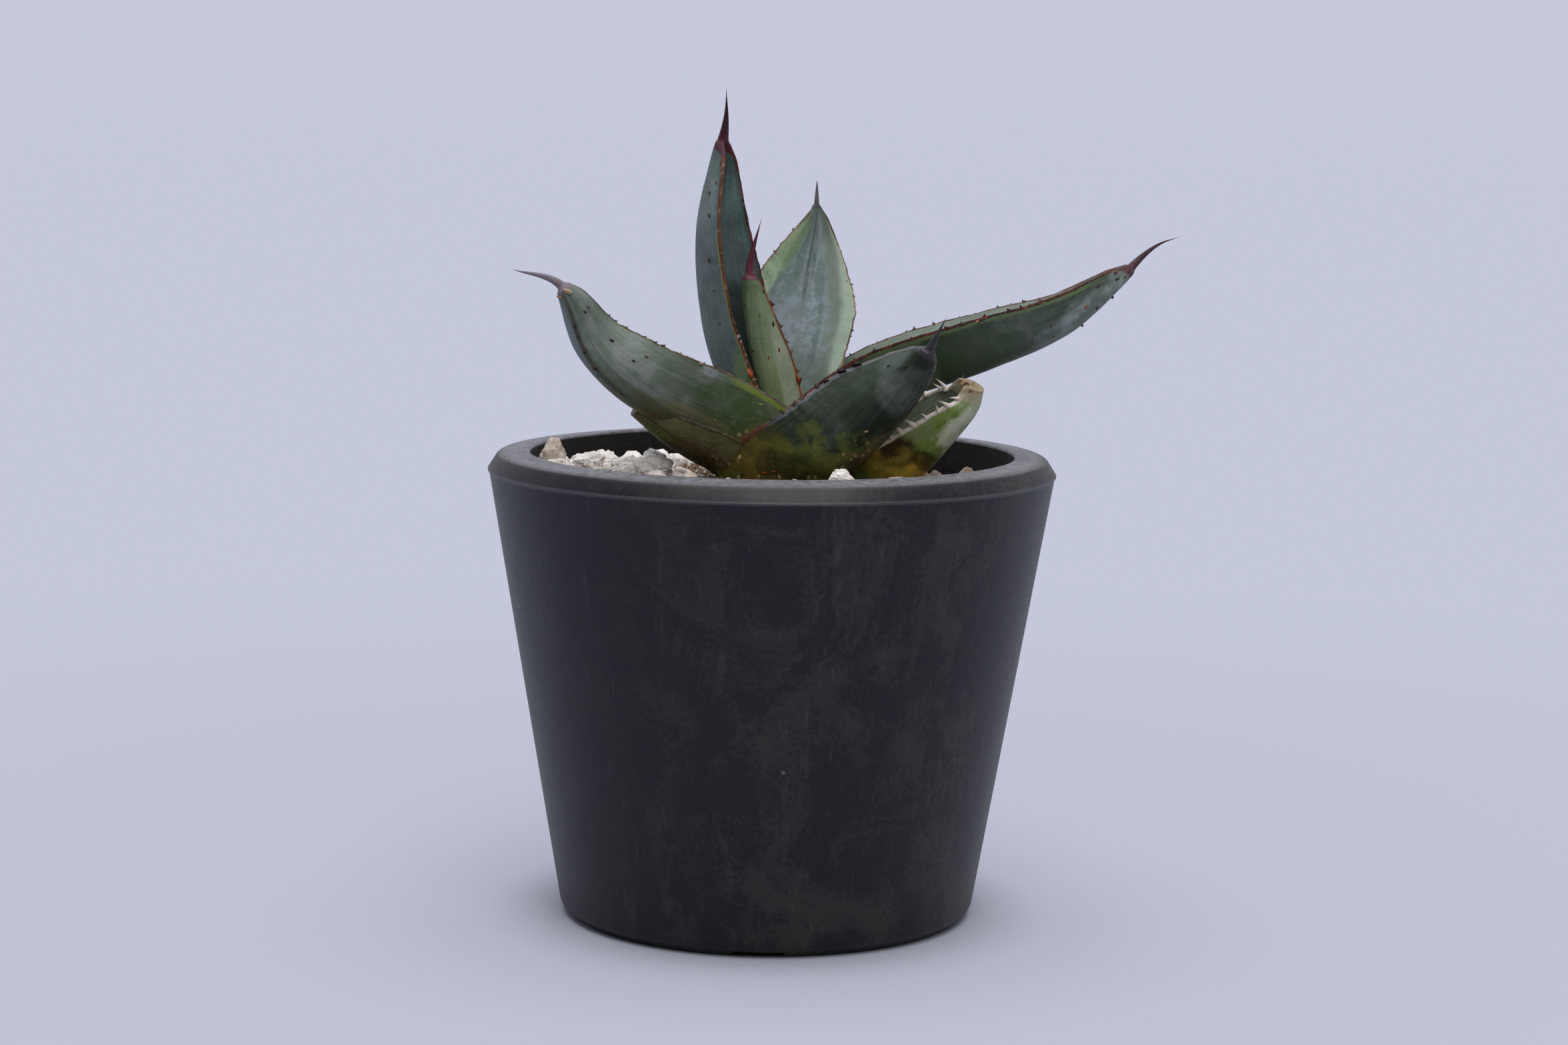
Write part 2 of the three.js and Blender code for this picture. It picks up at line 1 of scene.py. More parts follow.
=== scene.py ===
"""A young agave in a charcoal plastic pot topped with pumice, in metres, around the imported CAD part."""

import math

import bpy
from mathutils import Matrix, Vector


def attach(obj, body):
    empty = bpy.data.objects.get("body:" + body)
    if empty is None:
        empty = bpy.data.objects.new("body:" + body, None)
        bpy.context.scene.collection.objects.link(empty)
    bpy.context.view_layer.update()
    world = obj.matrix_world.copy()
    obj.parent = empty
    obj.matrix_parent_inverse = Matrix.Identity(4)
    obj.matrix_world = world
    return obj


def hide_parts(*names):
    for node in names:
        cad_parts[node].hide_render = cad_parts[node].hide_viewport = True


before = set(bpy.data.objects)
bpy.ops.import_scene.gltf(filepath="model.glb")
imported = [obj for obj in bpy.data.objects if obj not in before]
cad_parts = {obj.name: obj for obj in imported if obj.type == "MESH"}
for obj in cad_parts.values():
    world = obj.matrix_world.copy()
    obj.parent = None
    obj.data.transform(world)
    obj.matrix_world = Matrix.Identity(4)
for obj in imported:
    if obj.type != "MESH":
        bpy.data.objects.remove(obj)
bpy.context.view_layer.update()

MM = 0.001

# ---------------------------------------------------------------- pot
# The pot is one moulding of charcoal polypropylene: a tapered wall with a thick bevelled rim
# and four drained grooves under its foot. Handling has left it dusty, clouded and finely scratched.

POT_SIDES = 192
RIM_RADIUS = 60.0
RIM_HEIGHT = 94.5
RING_OUTER = (57.8, 98.0)
RING_INNER = (51.0, 98.6)
FOOT_RADIUS = 43.7
LIP_FOOT = 89.6
EDGE_ROUNDING = 0.9
INSIDE_TOP = (54.0, 85.0)
INSIDE_FOOT = (40.0, 4.0)
DRAIN = {
    "Count": 4,
    "Turn": math.radians(-92),
    "Groove Width": 10.6 * MM,
    "Groove Depth": 1.2 * MM,
    "Groove Start": 13 * MM,
    "Groove End": 49 * MM,
    "Hole Radius": 4 * MM,
    "Hole Circle": 25 * MM,
}
DRILL = {"Vertices": 48, "Depth": 20 * MM}
CHARCOAL = (0.0026, 0.0034, 0.0078)
# Painted shade: a darker blue for the left side of the pot.
PAINTED_LEFT_SHADE = (0.0010, 0.0020, 0.0075)
WATER_MARK = (0.0260, 0.0225, 0.0215)
DUST = (0.20, 0.18, 0.155)
# Pale scuffs, also used for the painted reflection and highlights of the rim.
SCUFF_AND_SHEEN = (0.235, 0.230, 0.262)
SOOT_BROWN = (0.030, 0.021, 0.017)


class Wire:
    """A node's socket that takes part in sums: each operator adds the node it stands for."""

    def __init__(self, net, socket):
        self.net = net
        self.socket = socket

    def __getitem__(self, name):
        return Wire(self.net, self.socket.node.outputs[name])

    def __add__(self, other):
        return self.net.sum("ADD", self, other)

    def __radd__(self, other):
        return self.net.sum("ADD", other, self)

    def __sub__(self, other):
        return self.net.sum("SUBTRACT", self, other)

    def __rsub__(self, other):
        return self.net.sum("SUBTRACT", other, self)

    def __mul__(self, other):
        return self.net.sum("MULTIPLY", self, other)

    def __rmul__(self, other):
        return self.net.sum("MULTIPLY", other, self)

    def __truediv__(self, other):
        return self.net.sum("DIVIDE", self, other)

    def __rtruediv__(self, other):
        return self.net.sum("DIVIDE", other, self)

    def __pow__(self, other):
        return self.net.sum("POWER", self, other)

    def __neg__(self):
        return self.net.sum("MULTIPLY", self, -1.0)

    def __abs__(self):
        return self.net.sum("ABSOLUTE", self)


def is_vector(term):
    if isinstance(term, Wire):
        return term.socket.type == "VECTOR"
    return isinstance(term, (tuple, Vector))


class Net:
    """A node tree in the making."""

    def __init__(self, tree):
        self.tree = tree

    def add(self, kind, settings=None, inputs=None):
        """Adds a node: its settings first, then the values or wires of its sockets."""
        node = self.tree.nodes.new(kind)
        for name, value in (settings or {}).items():
            setattr(node, name, value)
        for key, value in (inputs or {}).items():
            socket = self.socket(node, key)
            for term in value if isinstance(value, list) else [value]:
                if isinstance(term, Wire):
                    self.tree.links.new(term.socket, socket)
                else:
                    socket.default_value = term
        outputs = [socket for socket in node.outputs if socket.enabled]
        return Wire(self, outputs[0]) if outputs else node

    @staticmethod
    def socket(node, key):
        if isinstance(key, int):
            return node.inputs[key]
        return next(s for s in node.inputs if s.enabled and s.name == key)

    def sum(self, operation, *terms):
        vectors = [is_vector(term) for term in terms]
        if not any(vectors):
            return self.add("ShaderNodeMath", {"operation": operation}, dict(enumerate(terms)))
        if operation == "MULTIPLY" and not all(vectors):
            vector, scale = terms if vectors[0] else terms[::-1]
            return self.add("ShaderNodeVectorMath", {"operation": "SCALE"}, {0: vector, 3: scale})
        return self.vector(operation, *terms)

    def vector(self, operation, *terms):
        return self.add("ShaderNodeVectorMath", {"operation": operation}, dict(enumerate(terms)))

    def joined(self, x=0.0, y=0.0, z=0.0):
        """The vector with these coordinates."""
        return self.add("ShaderNodeCombineXYZ", None, {0: x, 1: y, 2: z})

    def axes(self, vector):
        """The coordinates of a vector, to be read as X, Y and Z."""
        return self.add("ShaderNodeSeparateXYZ", None, {0: vector})

    def ramped(self, value, start, end, low=0.0, high=1.0):
        """Goes smoothly from low to high while value goes from start to end."""
        return self.add(
            "ShaderNodeMapRange",
            {"interpolation_type": "SMOOTHSTEP"},
            {"Value": value, "From Min": start, "From Max": end, "To Min": low, "To Max": high},
        )

    def mix(self, factor, first, second):
        kind = "VECTOR" if is_vector(first) or is_vector(second) else "FLOAT"
        return self.add("ShaderNodeMix", {"data_type": kind}, {"Factor": factor, "A": first, "B": second})

    def blend(self, factor, first, second):
        """Lays the second colour over the first."""
        under, over = [(*c, 1.0) if isinstance(c, tuple) else c for c in (first, second)]
        return self.add("ShaderNodeMix", {"data_type": "RGBA"}, {"Factor": factor, "A": under, "B": over})

    def noise(self, vector, scale, detail=3.0, roughness=0.5, distortion=0.0):
        sizes = {"Scale": scale, "Detail": detail, "Roughness": roughness, "Distortion": distortion}
        return self.add("ShaderNodeTexNoise", None, {"Vector": vector, **sizes})

    def stretched(self, vector, scale):
        return self.add("ShaderNodeMapping", None, {"Vector": vector, "Scale": scale})

    def cells(self, vector, scale):
        return self.add("ShaderNodeTexVoronoi", None, {"Vector": vector, "Scale": scale})

    def attribute(self, name):
        """A value kept on the mesh, as a shader reads it."""
        return self.add("ShaderNodeAttribute", {"attribute_name": name})["Fac"]

    def kept_value(self, name, kind="FLOAT"):
        """A value kept on the points, as a geometry tree reads it."""
        return self.add("GeometryNodeInputNamedAttribute", {"data_type": kind}, {"Name": name})

    def keep(self, geometry, name, value, domain="POINT"):
        """Keeps a named value on every point or on every instance."""
        settings = {"data_type": "FLOAT", "domain": domain}
        inputs = {"Geometry": geometry, "Name": name, "Value": value}
        return self.add("GeometryNodeStoreNamedAttribute", settings, inputs)

    def moved(self, geometry, **where):
        return self.add("GeometryNodeSetPosition", None, {"Geometry": geometry, **where})

    def copied(self, instance, points, **how):
        """The instance on every point."""
        inputs = {"Points": points, "Instance": instance, **how}
        return self.add("GeometryNodeInstanceOnPoints", None, inputs)


def new_material(name, roughness, **constants):
    """A material with one shader wired to its output, the net that both stand in, and the shader."""
    material = bpy.data.materials.new(name)
    material.use_nodes = True
    net = Net(material.node_tree)
    material.node_tree.nodes.clear()
    shader = material.node_tree.nodes.new("ShaderNodeBsdfPrincipled")
    output = material.node_tree.nodes.new("ShaderNodeOutputMaterial")
    material.node_tree.links.new(shader.outputs["BSDF"], output.inputs["Surface"])
    shader.inputs["Roughness"].default_value = roughness
    for socket, value in constants.items():
        shader.inputs[socket.replace("_", " ")].default_value = value
    return material, net, shader


def finish_shader(net, shader, colour, roughness, height, bump):
    """Wires colour, roughness and relief into a shader. Heights are in metres at bump strength 1."""
    net.tree.links.new(colour.socket, shader.inputs["Base Color"])
    net.tree.links.new(roughness.socket, shader.inputs["Roughness"])
    relief = net.add("ShaderNodeBump", None, {"Strength": bump, "Distance": 0.001, "Height": height})
    net.tree.links.new(relief.socket, shader.inputs["Normal"])


def new_tree(name, inputs):
    """A geometry tree with its named inputs as wires."""
    tree = bpy.data.node_groups.new(name, "GeometryNodeTree")
    tree.interface.new_socket("Geometry", in_out="INPUT", socket_type="NodeSocketGeometry")
    for label, kind in inputs.items():
        tree.interface.new_socket(label, in_out="INPUT", socket_type="NodeSocket" + kind)
    tree.interface.new_socket("Geometry", in_out="OUTPUT", socket_type="NodeSocketGeometry")
    net = Net(tree)
    start = tree.nodes.new("NodeGroupInput")
    given = {socket.name: Wire(net, socket) for socket in start.outputs if socket.name}
    return tree, net, given


def close_tree(net, geometry, material):
    """Ends a geometry tree: instances made real, the material set."""
    real = net.add("GeometryNodeRealizeInstances", None, {"Geometry": geometry})
    dressed = net.add("GeometryNodeSetMaterial", None, {"Geometry": real, "Material": material})
    net.add("NodeGroupOutput", None, {"Geometry": dressed})


def grown(name, host, tree, values):
    """Runs a geometry tree on a mesh and keeps what it makes as a plain mesh object."""
    piece = bpy.data.objects.new(name, host)
    bpy.context.scene.collection.objects.link(piece)
    modifier = piece.modifiers.new("growth", "NODES")
    modifier.node_group = tree
    for item in tree.interface.items_tree:
        if item.in_out == "INPUT" and item.name in values:
            modifier[item.identifier] = values[item.name]
    graph = bpy.context.evaluated_depsgraph_get()
    grown_piece = piece.evaluated_get(graph)
    made = bpy.data.meshes.new_from_object(grown_piece, preserve_all_data_layers=True, depsgraph=graph)
    piece.modifiers.remove(modifier)
    piece.data = made
    bpy.data.meshes.remove(host)
    made.name = name
    return piece


def placed(piece, node):
    """The piece stands for its CAD node and rides with the part."""
    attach(piece, "root")
    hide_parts(node)


def smooth(mesh, sharp_degrees):
    mesh.shade_smooth()
    mesh.set_sharp_from_angle(angle=math.radians(sharp_degrees))


def rounded(profile, radius, steps=4):
    """The profile in metres, with each inner corner rounded off."""
    points = [Vector((x, z)) * MM for x, z in profile]
    path = [points[0]]
    for before, corner, after in zip(points, points[1:], points[2:]):
        reach = min(radius * MM, (corner - before).length * 0.45, (after - corner).length * 0.45)
        start = corner + (before - corner).normalized() * reach
        end = corner + (after - corner).normalized() * reach
        for step in range(steps + 1):
            share = step / steps
            path.append(start.lerp(corner, share).lerp(corner.lerp(end, share), share))
    return path + [points[-1]]


def turned_mesh(name, path, sides):
    """A closed body turned about the Z axis. Its profile starts and ends on the axis, foot first."""
    vertices = [(0.0, 0.0, path[0].y)]
    for radius, height in path[1:-1]:
        for side in range(sides):
            angle = math.tau * side / sides
            vertices.append((radius * math.cos(angle), radius * math.sin(angle), height))
    vertices.append((0.0, 0.0, path[-1].y))
    last = len(vertices) - 1
    faces = []
    for side in range(sides):
        following = (side + 1) % sides
        faces.append((0, 1 + following, 1 + side))
        for ring in range(len(path) - 3):
            low = 1 + ring * sides
            faces.append((low + side, low + following, low + sides + following, low + sides + side))
        faces.append((last - sides + side, last - sides + following, last))
    mesh = bpy.data.meshes.new(name)
    mesh.from_pydata(vertices, [], faces)
    return mesh


def drainage_tree():
    """Cuts the grooves and the drainage holes out of the foot."""
    tree, net, given = new_tree("foot drainage", {
        "Count": "Int", "Turn": "Float", "Groove Width": "Float", "Groove Depth": "Float",
        "Groove Start": "Float", "Groove End": "Float", "Hole Radius": "Float", "Hole Circle": "Float",
        "Material": "Material",
    })
    length = given["Groove End"] - given["Groove Start"]
    size = net.joined(length, given["Groove Width"], given["Groove Depth"] * 2.0)
    bar = net.add("GeometryNodeMeshCube", None, {"Size": size})
    middle = net.joined(given["Groove Start"] + length / 2.0)
    bar = net.add("GeometryNodeTransform", None, {"Geometry": bar, "Translation": middle})
    drill = net.add("GeometryNodeMeshCylinder", None, {"Radius": given["Hole Radius"], **DRILL})
    circle = net.joined(given["Hole Circle"])
    drill = net.add("GeometryNodeTransform", None, {"Geometry": drill, "Translation": circle})
    points = net.add("GeometryNodePoints", None, {"Count": given["Count"]})
    index = net.add("GeometryNodeInputIndex")
    turn = net.joined(z=index / given["Count"] * math.tau + given["Turn"])
    cut = given["Geometry"]
    for cutter in (bar, drill):
        copies = net.copied(cutter, points, Rotation=turn)
        cutters = net.add("GeometryNodeRealizeInstances", None, {"Geometry": copies})
        cut = net.add(
            "GeometryNodeMeshBoolean",
            {"operation": "DIFFERENCE", "solver": "EXACT"},
            {"Mesh 1": cut, "Mesh 2": cutters},
        )
    close_tree(net, cut, given["Material"])
    return tree


def pot_finish():
    """Charcoal plastic: clouded by water marks, finely scratched upright, its inner wall dusty. Its left
    side has a painted bluish shade; its rim top is lighter from scuffs and a painted reflection, and its
    edges carry painted highlights.
    """
    material, net, shader = new_material("charcoal plastic", 0.4, IOR=1.4)
    place = net.add("ShaderNodeTexCoord")["Object"]
    axes = net.axes(place)
    height = axes["Z"] / MM
    radius = net.sum("SQRT", axes["X"] * axes["X"] + axes["Y"] * axes["Y"]) / MM
    depth = FOOT_RADIUS + height * ((RIM_RADIUS - 0.4 - FOOT_RADIUS) / RIM_HEIGHT) - radius
    inside = net.ramped(depth, 2.2, 3.2) * net.ramped(height, 98.3, 97.7)
    top = net.ramped(height, 97.6, 98.1)
    # Painted highlights: thin bright lines along the foot of the bevel and the outer edge of the ring top.
    edge = net.ramped(abs(height - (RIM_HEIGHT + 0.1)), 0.55, 0.1)
    edge = edge + net.ramped(abs(height - RING_OUTER[1]), 0.4, 0.05)

    clouds = net.noise(place, 62.0, 6.0, 0.62, 0.9)
    drips = net.noise(net.stretched(place, (95.0, 95.0, 24.0)), 1.0, 6.0, 0.66, 0.6)
    grain = net.noise(place, 900.0, 3.0, 0.7)
    fine = net.noise(place, 520.0, 4.0, 0.62)
    upright = net.noise(net.stretched(place, (1150.0, 1150.0, 30.0)), 1.0, 3.0, 0.6)
    strokes = net.noise(net.stretched(place, (420.0, 420.0, 60.0)), 1.0, 3.0, 0.6)
    spread = net.ramped(net.noise(place, 55.0, 2.0), 0.45, 0.62)
    scratches = net.ramped(upright, 0.62, 0.70) * spread
    swept = net.ramped(strokes, 0.57, 0.70) * net.ramped(drips, 0.46, 0.60)
    spots = net.cells(place, 125.0)
    flecks = net.ramped(spots["Distance"], 0.075, 0.045)
    flecks = flecks * net.ramped(net.noise(place, 38.0, 1.0), 0.60, 0.68)
    rings = net.noise(net.stretched(place, (18.0, 18.0, 1500.0)), 1.0, 2.0, 0.5)

    # Painted shade: towards the left side the pot turns a darker blue, and its water marks fade there.
    watered = net.ramped(axes["X"], -0.040, 0.0, 0.12, 1.0)
    marked = net.ramped(clouds * 0.75 + grain * 0.25, 0.46, 0.62) * 0.75
    colour = net.blend(net.ramped(axes["X"], -0.012, -0.05), CHARCOAL, PAINTED_LEFT_SHADE)
    colour = net.blend(marked * watered, colour, WATER_MARK)
    marked = net.ramped(drips * 0.75 + grain * 0.25, 0.48, 0.61) * 0.6
    colour = net.blend(marked * watered, colour, WATER_MARK)
    colour = net.blend(swept * 0.06, colour, SCUFF_AND_SHEEN)
    colour = net.blend(scratches * 0.08, colour, SCUFF_AND_SHEEN)
    colour = net.blend(flecks * 0.75, colour, DUST)
    # The ring top turns lighter, partly from real scuffs and partly as a painted reflection, and the edges
    # get their painted highlights.
    worn = top * net.ramped(fine, 0.30, 0.72, 0.35, 0.95)
    colour = net.blend(net.sum("MINIMUM", worn + edge * 0.25, 1.0) * 0.75, colour, SCUFF_AND_SHEEN)
    crumbs = net.ramped(fine * 0.6 + clouds * 0.4, 0.47, 0.66) * net.ramped(height, 98.5, 88.0, 0.25, 0.6)
    colour = net.blend(inside, colour, net.blend(crumbs, (0.0022, 0.0018, 0.0018), SOOT_BROWN))
    roughness = 0.33 + 0.12 * clouds + 0.10 * fine + 0.08 * swept + inside * 0.4 + top * 0.04
    relief = fine * 0.09 + rings * 0.02 + clouds * 0.10 - scratches * 0.10 + upright * 0.04
    relief = relief + edge * 0.1 * strokes
    finish_shader(net, shader, colour, roughness, relief, 0.35)
    return material


pot_path = rounded(
    [
        (0.0, 0.0),
        (FOOT_RADIUS - 2.1, 0.0),
        (FOOT_RADIUS + 0.35, 2.2),
        (59.55, RIM_HEIGHT - 0.45),
        (RIM_RADIUS, RIM_HEIGHT + 0.05),
        RING_OUTER,
        RING_INNER,
        (RING_INNER[0], LIP_FOOT),
        INSIDE_TOP,
        (INSIDE_FOOT[0] + 0.5, INSIDE_FOOT[1] + 3.0),
        (INSIDE_FOOT[0] - 2.5, INSIDE_FOOT[1]),
        (0.0, INSIDE_FOOT[1]),
    ],
    EDGE_ROUNDING,
)
pot = grown(
    "pot_moulding",
    turned_mesh("pot turning", pot_path, POT_SIDES),
    drainage_tree(),
    {**DRAIN, "Material": pot_finish()},
)
smooth(pot.data, 28)
placed(pot, "pot")

# ---------------------------------------------------------------- potting mix
# Loose dark grit and bark that fills the pot. Almost all of it lies under the pumice, so the
# solid of the frame stays and gets a crumbly finish.

PEAT = (0.018, 0.011, 0.006)
BARK = (0.075, 0.045, 0.025)


def grit_finish(name, dark, light, scale):
    material, net, shader = new_material(name, 0.9, IOR=1.4)
    place = net.add("ShaderNodeTexCoord")["Object"]
    crumbs = net.cells(place, scale)
    fine = net.noise(place, scale * 2.2, 5.0, 0.65)
    tint = net.add("ShaderNodeSeparateColor", None, {0: crumbs["Color"]})["Red"]
    colour = net.blend(net.ramped(tint * 0.6 + fine * 0.4, 0.3, 0.8), dark, light)
    roughness = 0.8 + fine * 0.18
    finish_shader(net, shader, colour, roughness, fine * 0.5 - crumbs["Distance"] * 0.9, 0.8)
    return material


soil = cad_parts["soil"]
soil.data.materials.clear()
soil.data.materials.append(grit_finish("potting mix", PEAT, BARK, 620.0))

# ---------------------------------------------------------------- pumice
# Crushed pumice covers the mix: pale, rough, porous lumps from a grain to a knuckle in size,
# heaped a little higher at the left. It lies loose, as it was poured.

SURFACE_LEVEL = 89.5
STONE_BED = 2.7
GROUND_RADIUS = 50.7
GROUND_FOOT = 85.0
GROUND_RINGS = 48
GROUND_SIDES = 120
CRUMBS_FADE = (50.2 * MM, 49.0 * MM)
GRAIN_REACH = 49.6 * MM
GRAINS = {"Grain Count": 42.0e4, "Grain Size": 0.62 * MM, "Seed": 11}
STONE_COUNT = 130
STONE_SIZE = (1.8, 4)
STONE_HEIGHT = (0.6, 0.9)
STONE_REACH = (11, 49.5)
STONE_LEVEL = 3
STONE_SUNK = 0.25
STONE_SEED = 17
GOLDEN_ANGLE = 2.39996
GOLDEN_SHARE = 0.618
# The large stones seen from the front: place, radius, how far the middle stands above the bed,
# how tall the stone is for its width, and its tint from tan to white.
SHOWN_STONES = [
    (-46.3, -1, 3.1, 1.4, 1.5, 0.32),
    (-39, -4, 3.6, 0.8, 0.8, 0.62),
    (-30.5, -5, 3.4, 0.6, 0.8, 0.7),
    (-25, -6, 4.6, 1.6, 0.75, 0.85),
    (5, -24, 2, 0.9, 0.9, 0.05),
    (14.3, -24, 2.4, 2, 1.2, 1),
    (25.5, -16, 2, 1.4, 1, 0.6),
    (31.6, 5, 1.9, 1.4, 1.2, 0.05),
    (34.7, 5, 2.2, 1.2, 0.9, 0.05),
    (41.3, 5, 2, 1.6, 1.3, 0.05),
]
PUMICE_CREAM = (0.56, 0.49, 0.44)
PUMICE_WHITE = (0.93, 0.89, 0.86)
PUMICE_TAN = (0.30, 0.17, 0.09)
PORE = (0.060, 0.038, 0.024)
EARTH = (0.030, 0.019, 0.012)


def surface_height(x, y):
    """Height of the potting mix, in millimetres."""
    waves = 0.5 * math.sin(x * 0.16 + 1.3) * math.cos(y * 0.13 - 0.4)
    return SURFACE_LEVEL - 0.045 * x - 0.03 * y + waves


def ground_mesh():
    """The bed under the stones: a thin closed disc that follows the mix."""
    path = [Vector((0.0, GROUND_FOOT)), Vector((GROUND_RADIUS, GROUND_FOOT))]
    shares = [1 - ring / GROUND_RINGS for ring in range(GROUND_RINGS + 1)]
    path += [Vector((GROUND_RADIUS * share, SURFACE_LEVEL)) for share in shares]
    mesh = turned_mesh("ground", path, GROUND_SIDES)
    for vertex in mesh.vertices:
        x, y, z = vertex.co
        vertex.co = (x, y, surface_height(x, y) + STONE_BED if z > GROUND_FOOT else z)
    mesh.transform(Matrix.Scale(MM, 4))
    return mesh


def repeatable(seed):
    """Random numbers from 0 to 1, the same ones on any machine."""
    while True:
        seed = (seed * 1664525 + 1013904223) % 2**32
        yield seed / 2**32


def stone_points():
    """One point for each stone, in the even spiral of a seed head, with its size and turn kept on it."""
    draw = repeatable(STONE_SEED)

    def between(low, high):
        return low + (high - low) * next(draw)

    places, stones = [], []

    def lay(x, y, size, lift, tall, tint, shown):
        breadth, length = between(0.85, 1.2), between(0.8, 1.1)
        tilt, turn = between(0, 0.9) / (1 + lift), between(0, math.tau)
        places.append(Vector((x, y, surface_height(x, y) + STONE_LEVEL + lift)) * MM)
        extent = Vector((size * breadth, size * length, size * tall)) * MM
        stones.append((extent, (tilt, 0, turn), shown, tint))

    smallest, largest = STONE_SIZE
    inner, outer = STONE_REACH
    for index in range(STONE_COUNT):
        size = smallest + (largest - smallest) * next(draw) ** 2
        radius = min(inner + (outer - inner) * math.sqrt(index / STONE_COUNT), outer - size)
        angle = index * GOLDEN_ANGLE
        x, y = radius * math.cos(angle), radius * math.sin(angle)
        lay(x, y, size, -STONE_SUNK * size, between(*STONE_HEIGHT), index * GOLDEN_SHARE % 1, 0)
    for stone in SHOWN_STONES:
        lay(*stone, 1)

    mesh = bpy.data.meshes.new("stones")
    mesh.from_pydata(places, [], [])
    kept_values = {"size": "FLOAT_VECTOR", "turn": "FLOAT_VECTOR", "shown": "FLOAT", "tint": "FLOAT"}
    for place, (name, kind) in enumerate(kept_values.items()):
        layer = mesh.attributes.new(name, kind, "POINT")
        for item, stone in zip(layer.data, stones):
            setattr(item, "vector" if kind == "FLOAT_VECTOR" else "value", stone[place])
    return bpy.data.objects.new("stones", mesh)


def lump(net, subdivisions, seed, coarse, fine):
    """A rough stone of radius 1: broken facets from a coarse pattern, pits from a fine one."""
    ball = net.add("GeometryNodeMeshIcoSphere", None, {"Radius": 1.0, "Subdivisions": subdivisions})["Mesh"]
    place = net.add("GeometryNodeInputPosition")
    shifted = place + (seed * 3.7, seed * 1.3, seed * 2.1)
    cells = net.cells(shifted, 1.15)
    swell = (0.42 - cells["Distance"]) * coarse + (net.noise(shifted, 2.4, 2.0) - 0.52) * coarse
    swell = swell + (net.noise(shifted, 8.0, 4.0, 0.75) - 0.52) * fine
    return net.moved(ball, Offset=place * swell)


def pumice_tree():
    tree, net, given = new_tree("pumice cover", {
        "Stones": "Object", "Grain Count": "Float", "Grain Size": "Float", "Seed": "Int",
        "Material": "Material",
    })
    ground = given["Geometry"]
    place = net.add("GeometryNodeInputPosition")
    normal = net.add("GeometryNodeInputNormal")
    level = net.sum("GREATER_THAN", net.axes(normal)["Z"], 0.5)
    radius = net.vector("LENGTH", place * (1.0, 1.0, 0.0))["Value"]
    crumbly = (net.noise(place, 480.0, 4.0, 0.65) - 0.5) * 1.2 * MM * net.ramped(radius, *CRUMBS_FADE)
    rough = net.moved(ground, Selection=level, Offset=normal * crumbly)

    def drawn(kind, seed, low=0.0, high=1.0):
        inputs = {"Min": low, "Max": high, "Seed": seed}
        return net.add("FunctionNodeRandomValue", {"data_type": kind}, inputs)

    # Grains and dust between the stones.
    points = net.add("GeometryNodeDistributePointsOnFaces", {"distribute_method": "RANDOM"}, {
        "Mesh": ground, "Selection": level, "Density": given["Grain Count"], "Seed": given["Seed"],
    })
    size = given["Grain Size"] * (0.35 + 1.1 * drawn("FLOAT", given["Seed"]) ** 2.5)
    points = net.moved(points, Offset=net.joined(z=size * 0.3))
    grains = net.copied(
        lump(net, 1, 9, 0.3, 0.0),
        points,
        Selection=net.sum("LESS_THAN", radius, GRAIN_REACH),
        Rotation=drawn("FLOAT_VECTOR", 5, (0.0, 0.0, 0.0), (math.tau, math.tau, math.tau)),
        Scale=drawn("FLOAT_VECTOR", 6, (0.8, 0.7, 0.6), (1.3, 1.0, 0.9)) * size,
    )
    grains = net.keep(grains, "tint", 0.12 + 0.88 * drawn("FLOAT", 8) ** 1.5, "INSTANCE")

    # The stones: a rougher, finer lump for those that show.
    stones = net.add("GeometryNodeObjectInfo", None, {"Object": given["Stones"]})["Geometry"]
    heaps = [rough, grains]
    for shown, subdivisions, variants, fine in ((0.0, 3, 6, 0.16), (1.0, 5, 5, 0.26)):
        lumps = [lump(net, subdivisions, 30 * shown + number, 0.42, fine) for number in range(variants)]
        how = {
            "Selection": net.sum("COMPARE", net.kept_value("shown"), shown, 0.1),
            "Pick Instance": True,
            "Rotation": net.kept_value("turn", "FLOAT_VECTOR"),
            "Scale": net.kept_value("size", "FLOAT_VECTOR"),
        }
        kinds = net.add("GeometryNodeGeometryToInstance", None, {"Geometry": lumps})
        pile = net.copied(kinds, stones, **how)
        heaps.append(net.keep(pile, "tint", 0.3 + 0.7 * net.kept_value("tint"), "INSTANCE"))
    close_tree(net, net.add("GeometryNodeJoinGeometry", None, {"Geometry": heaps}), given["Material"])
    return tree


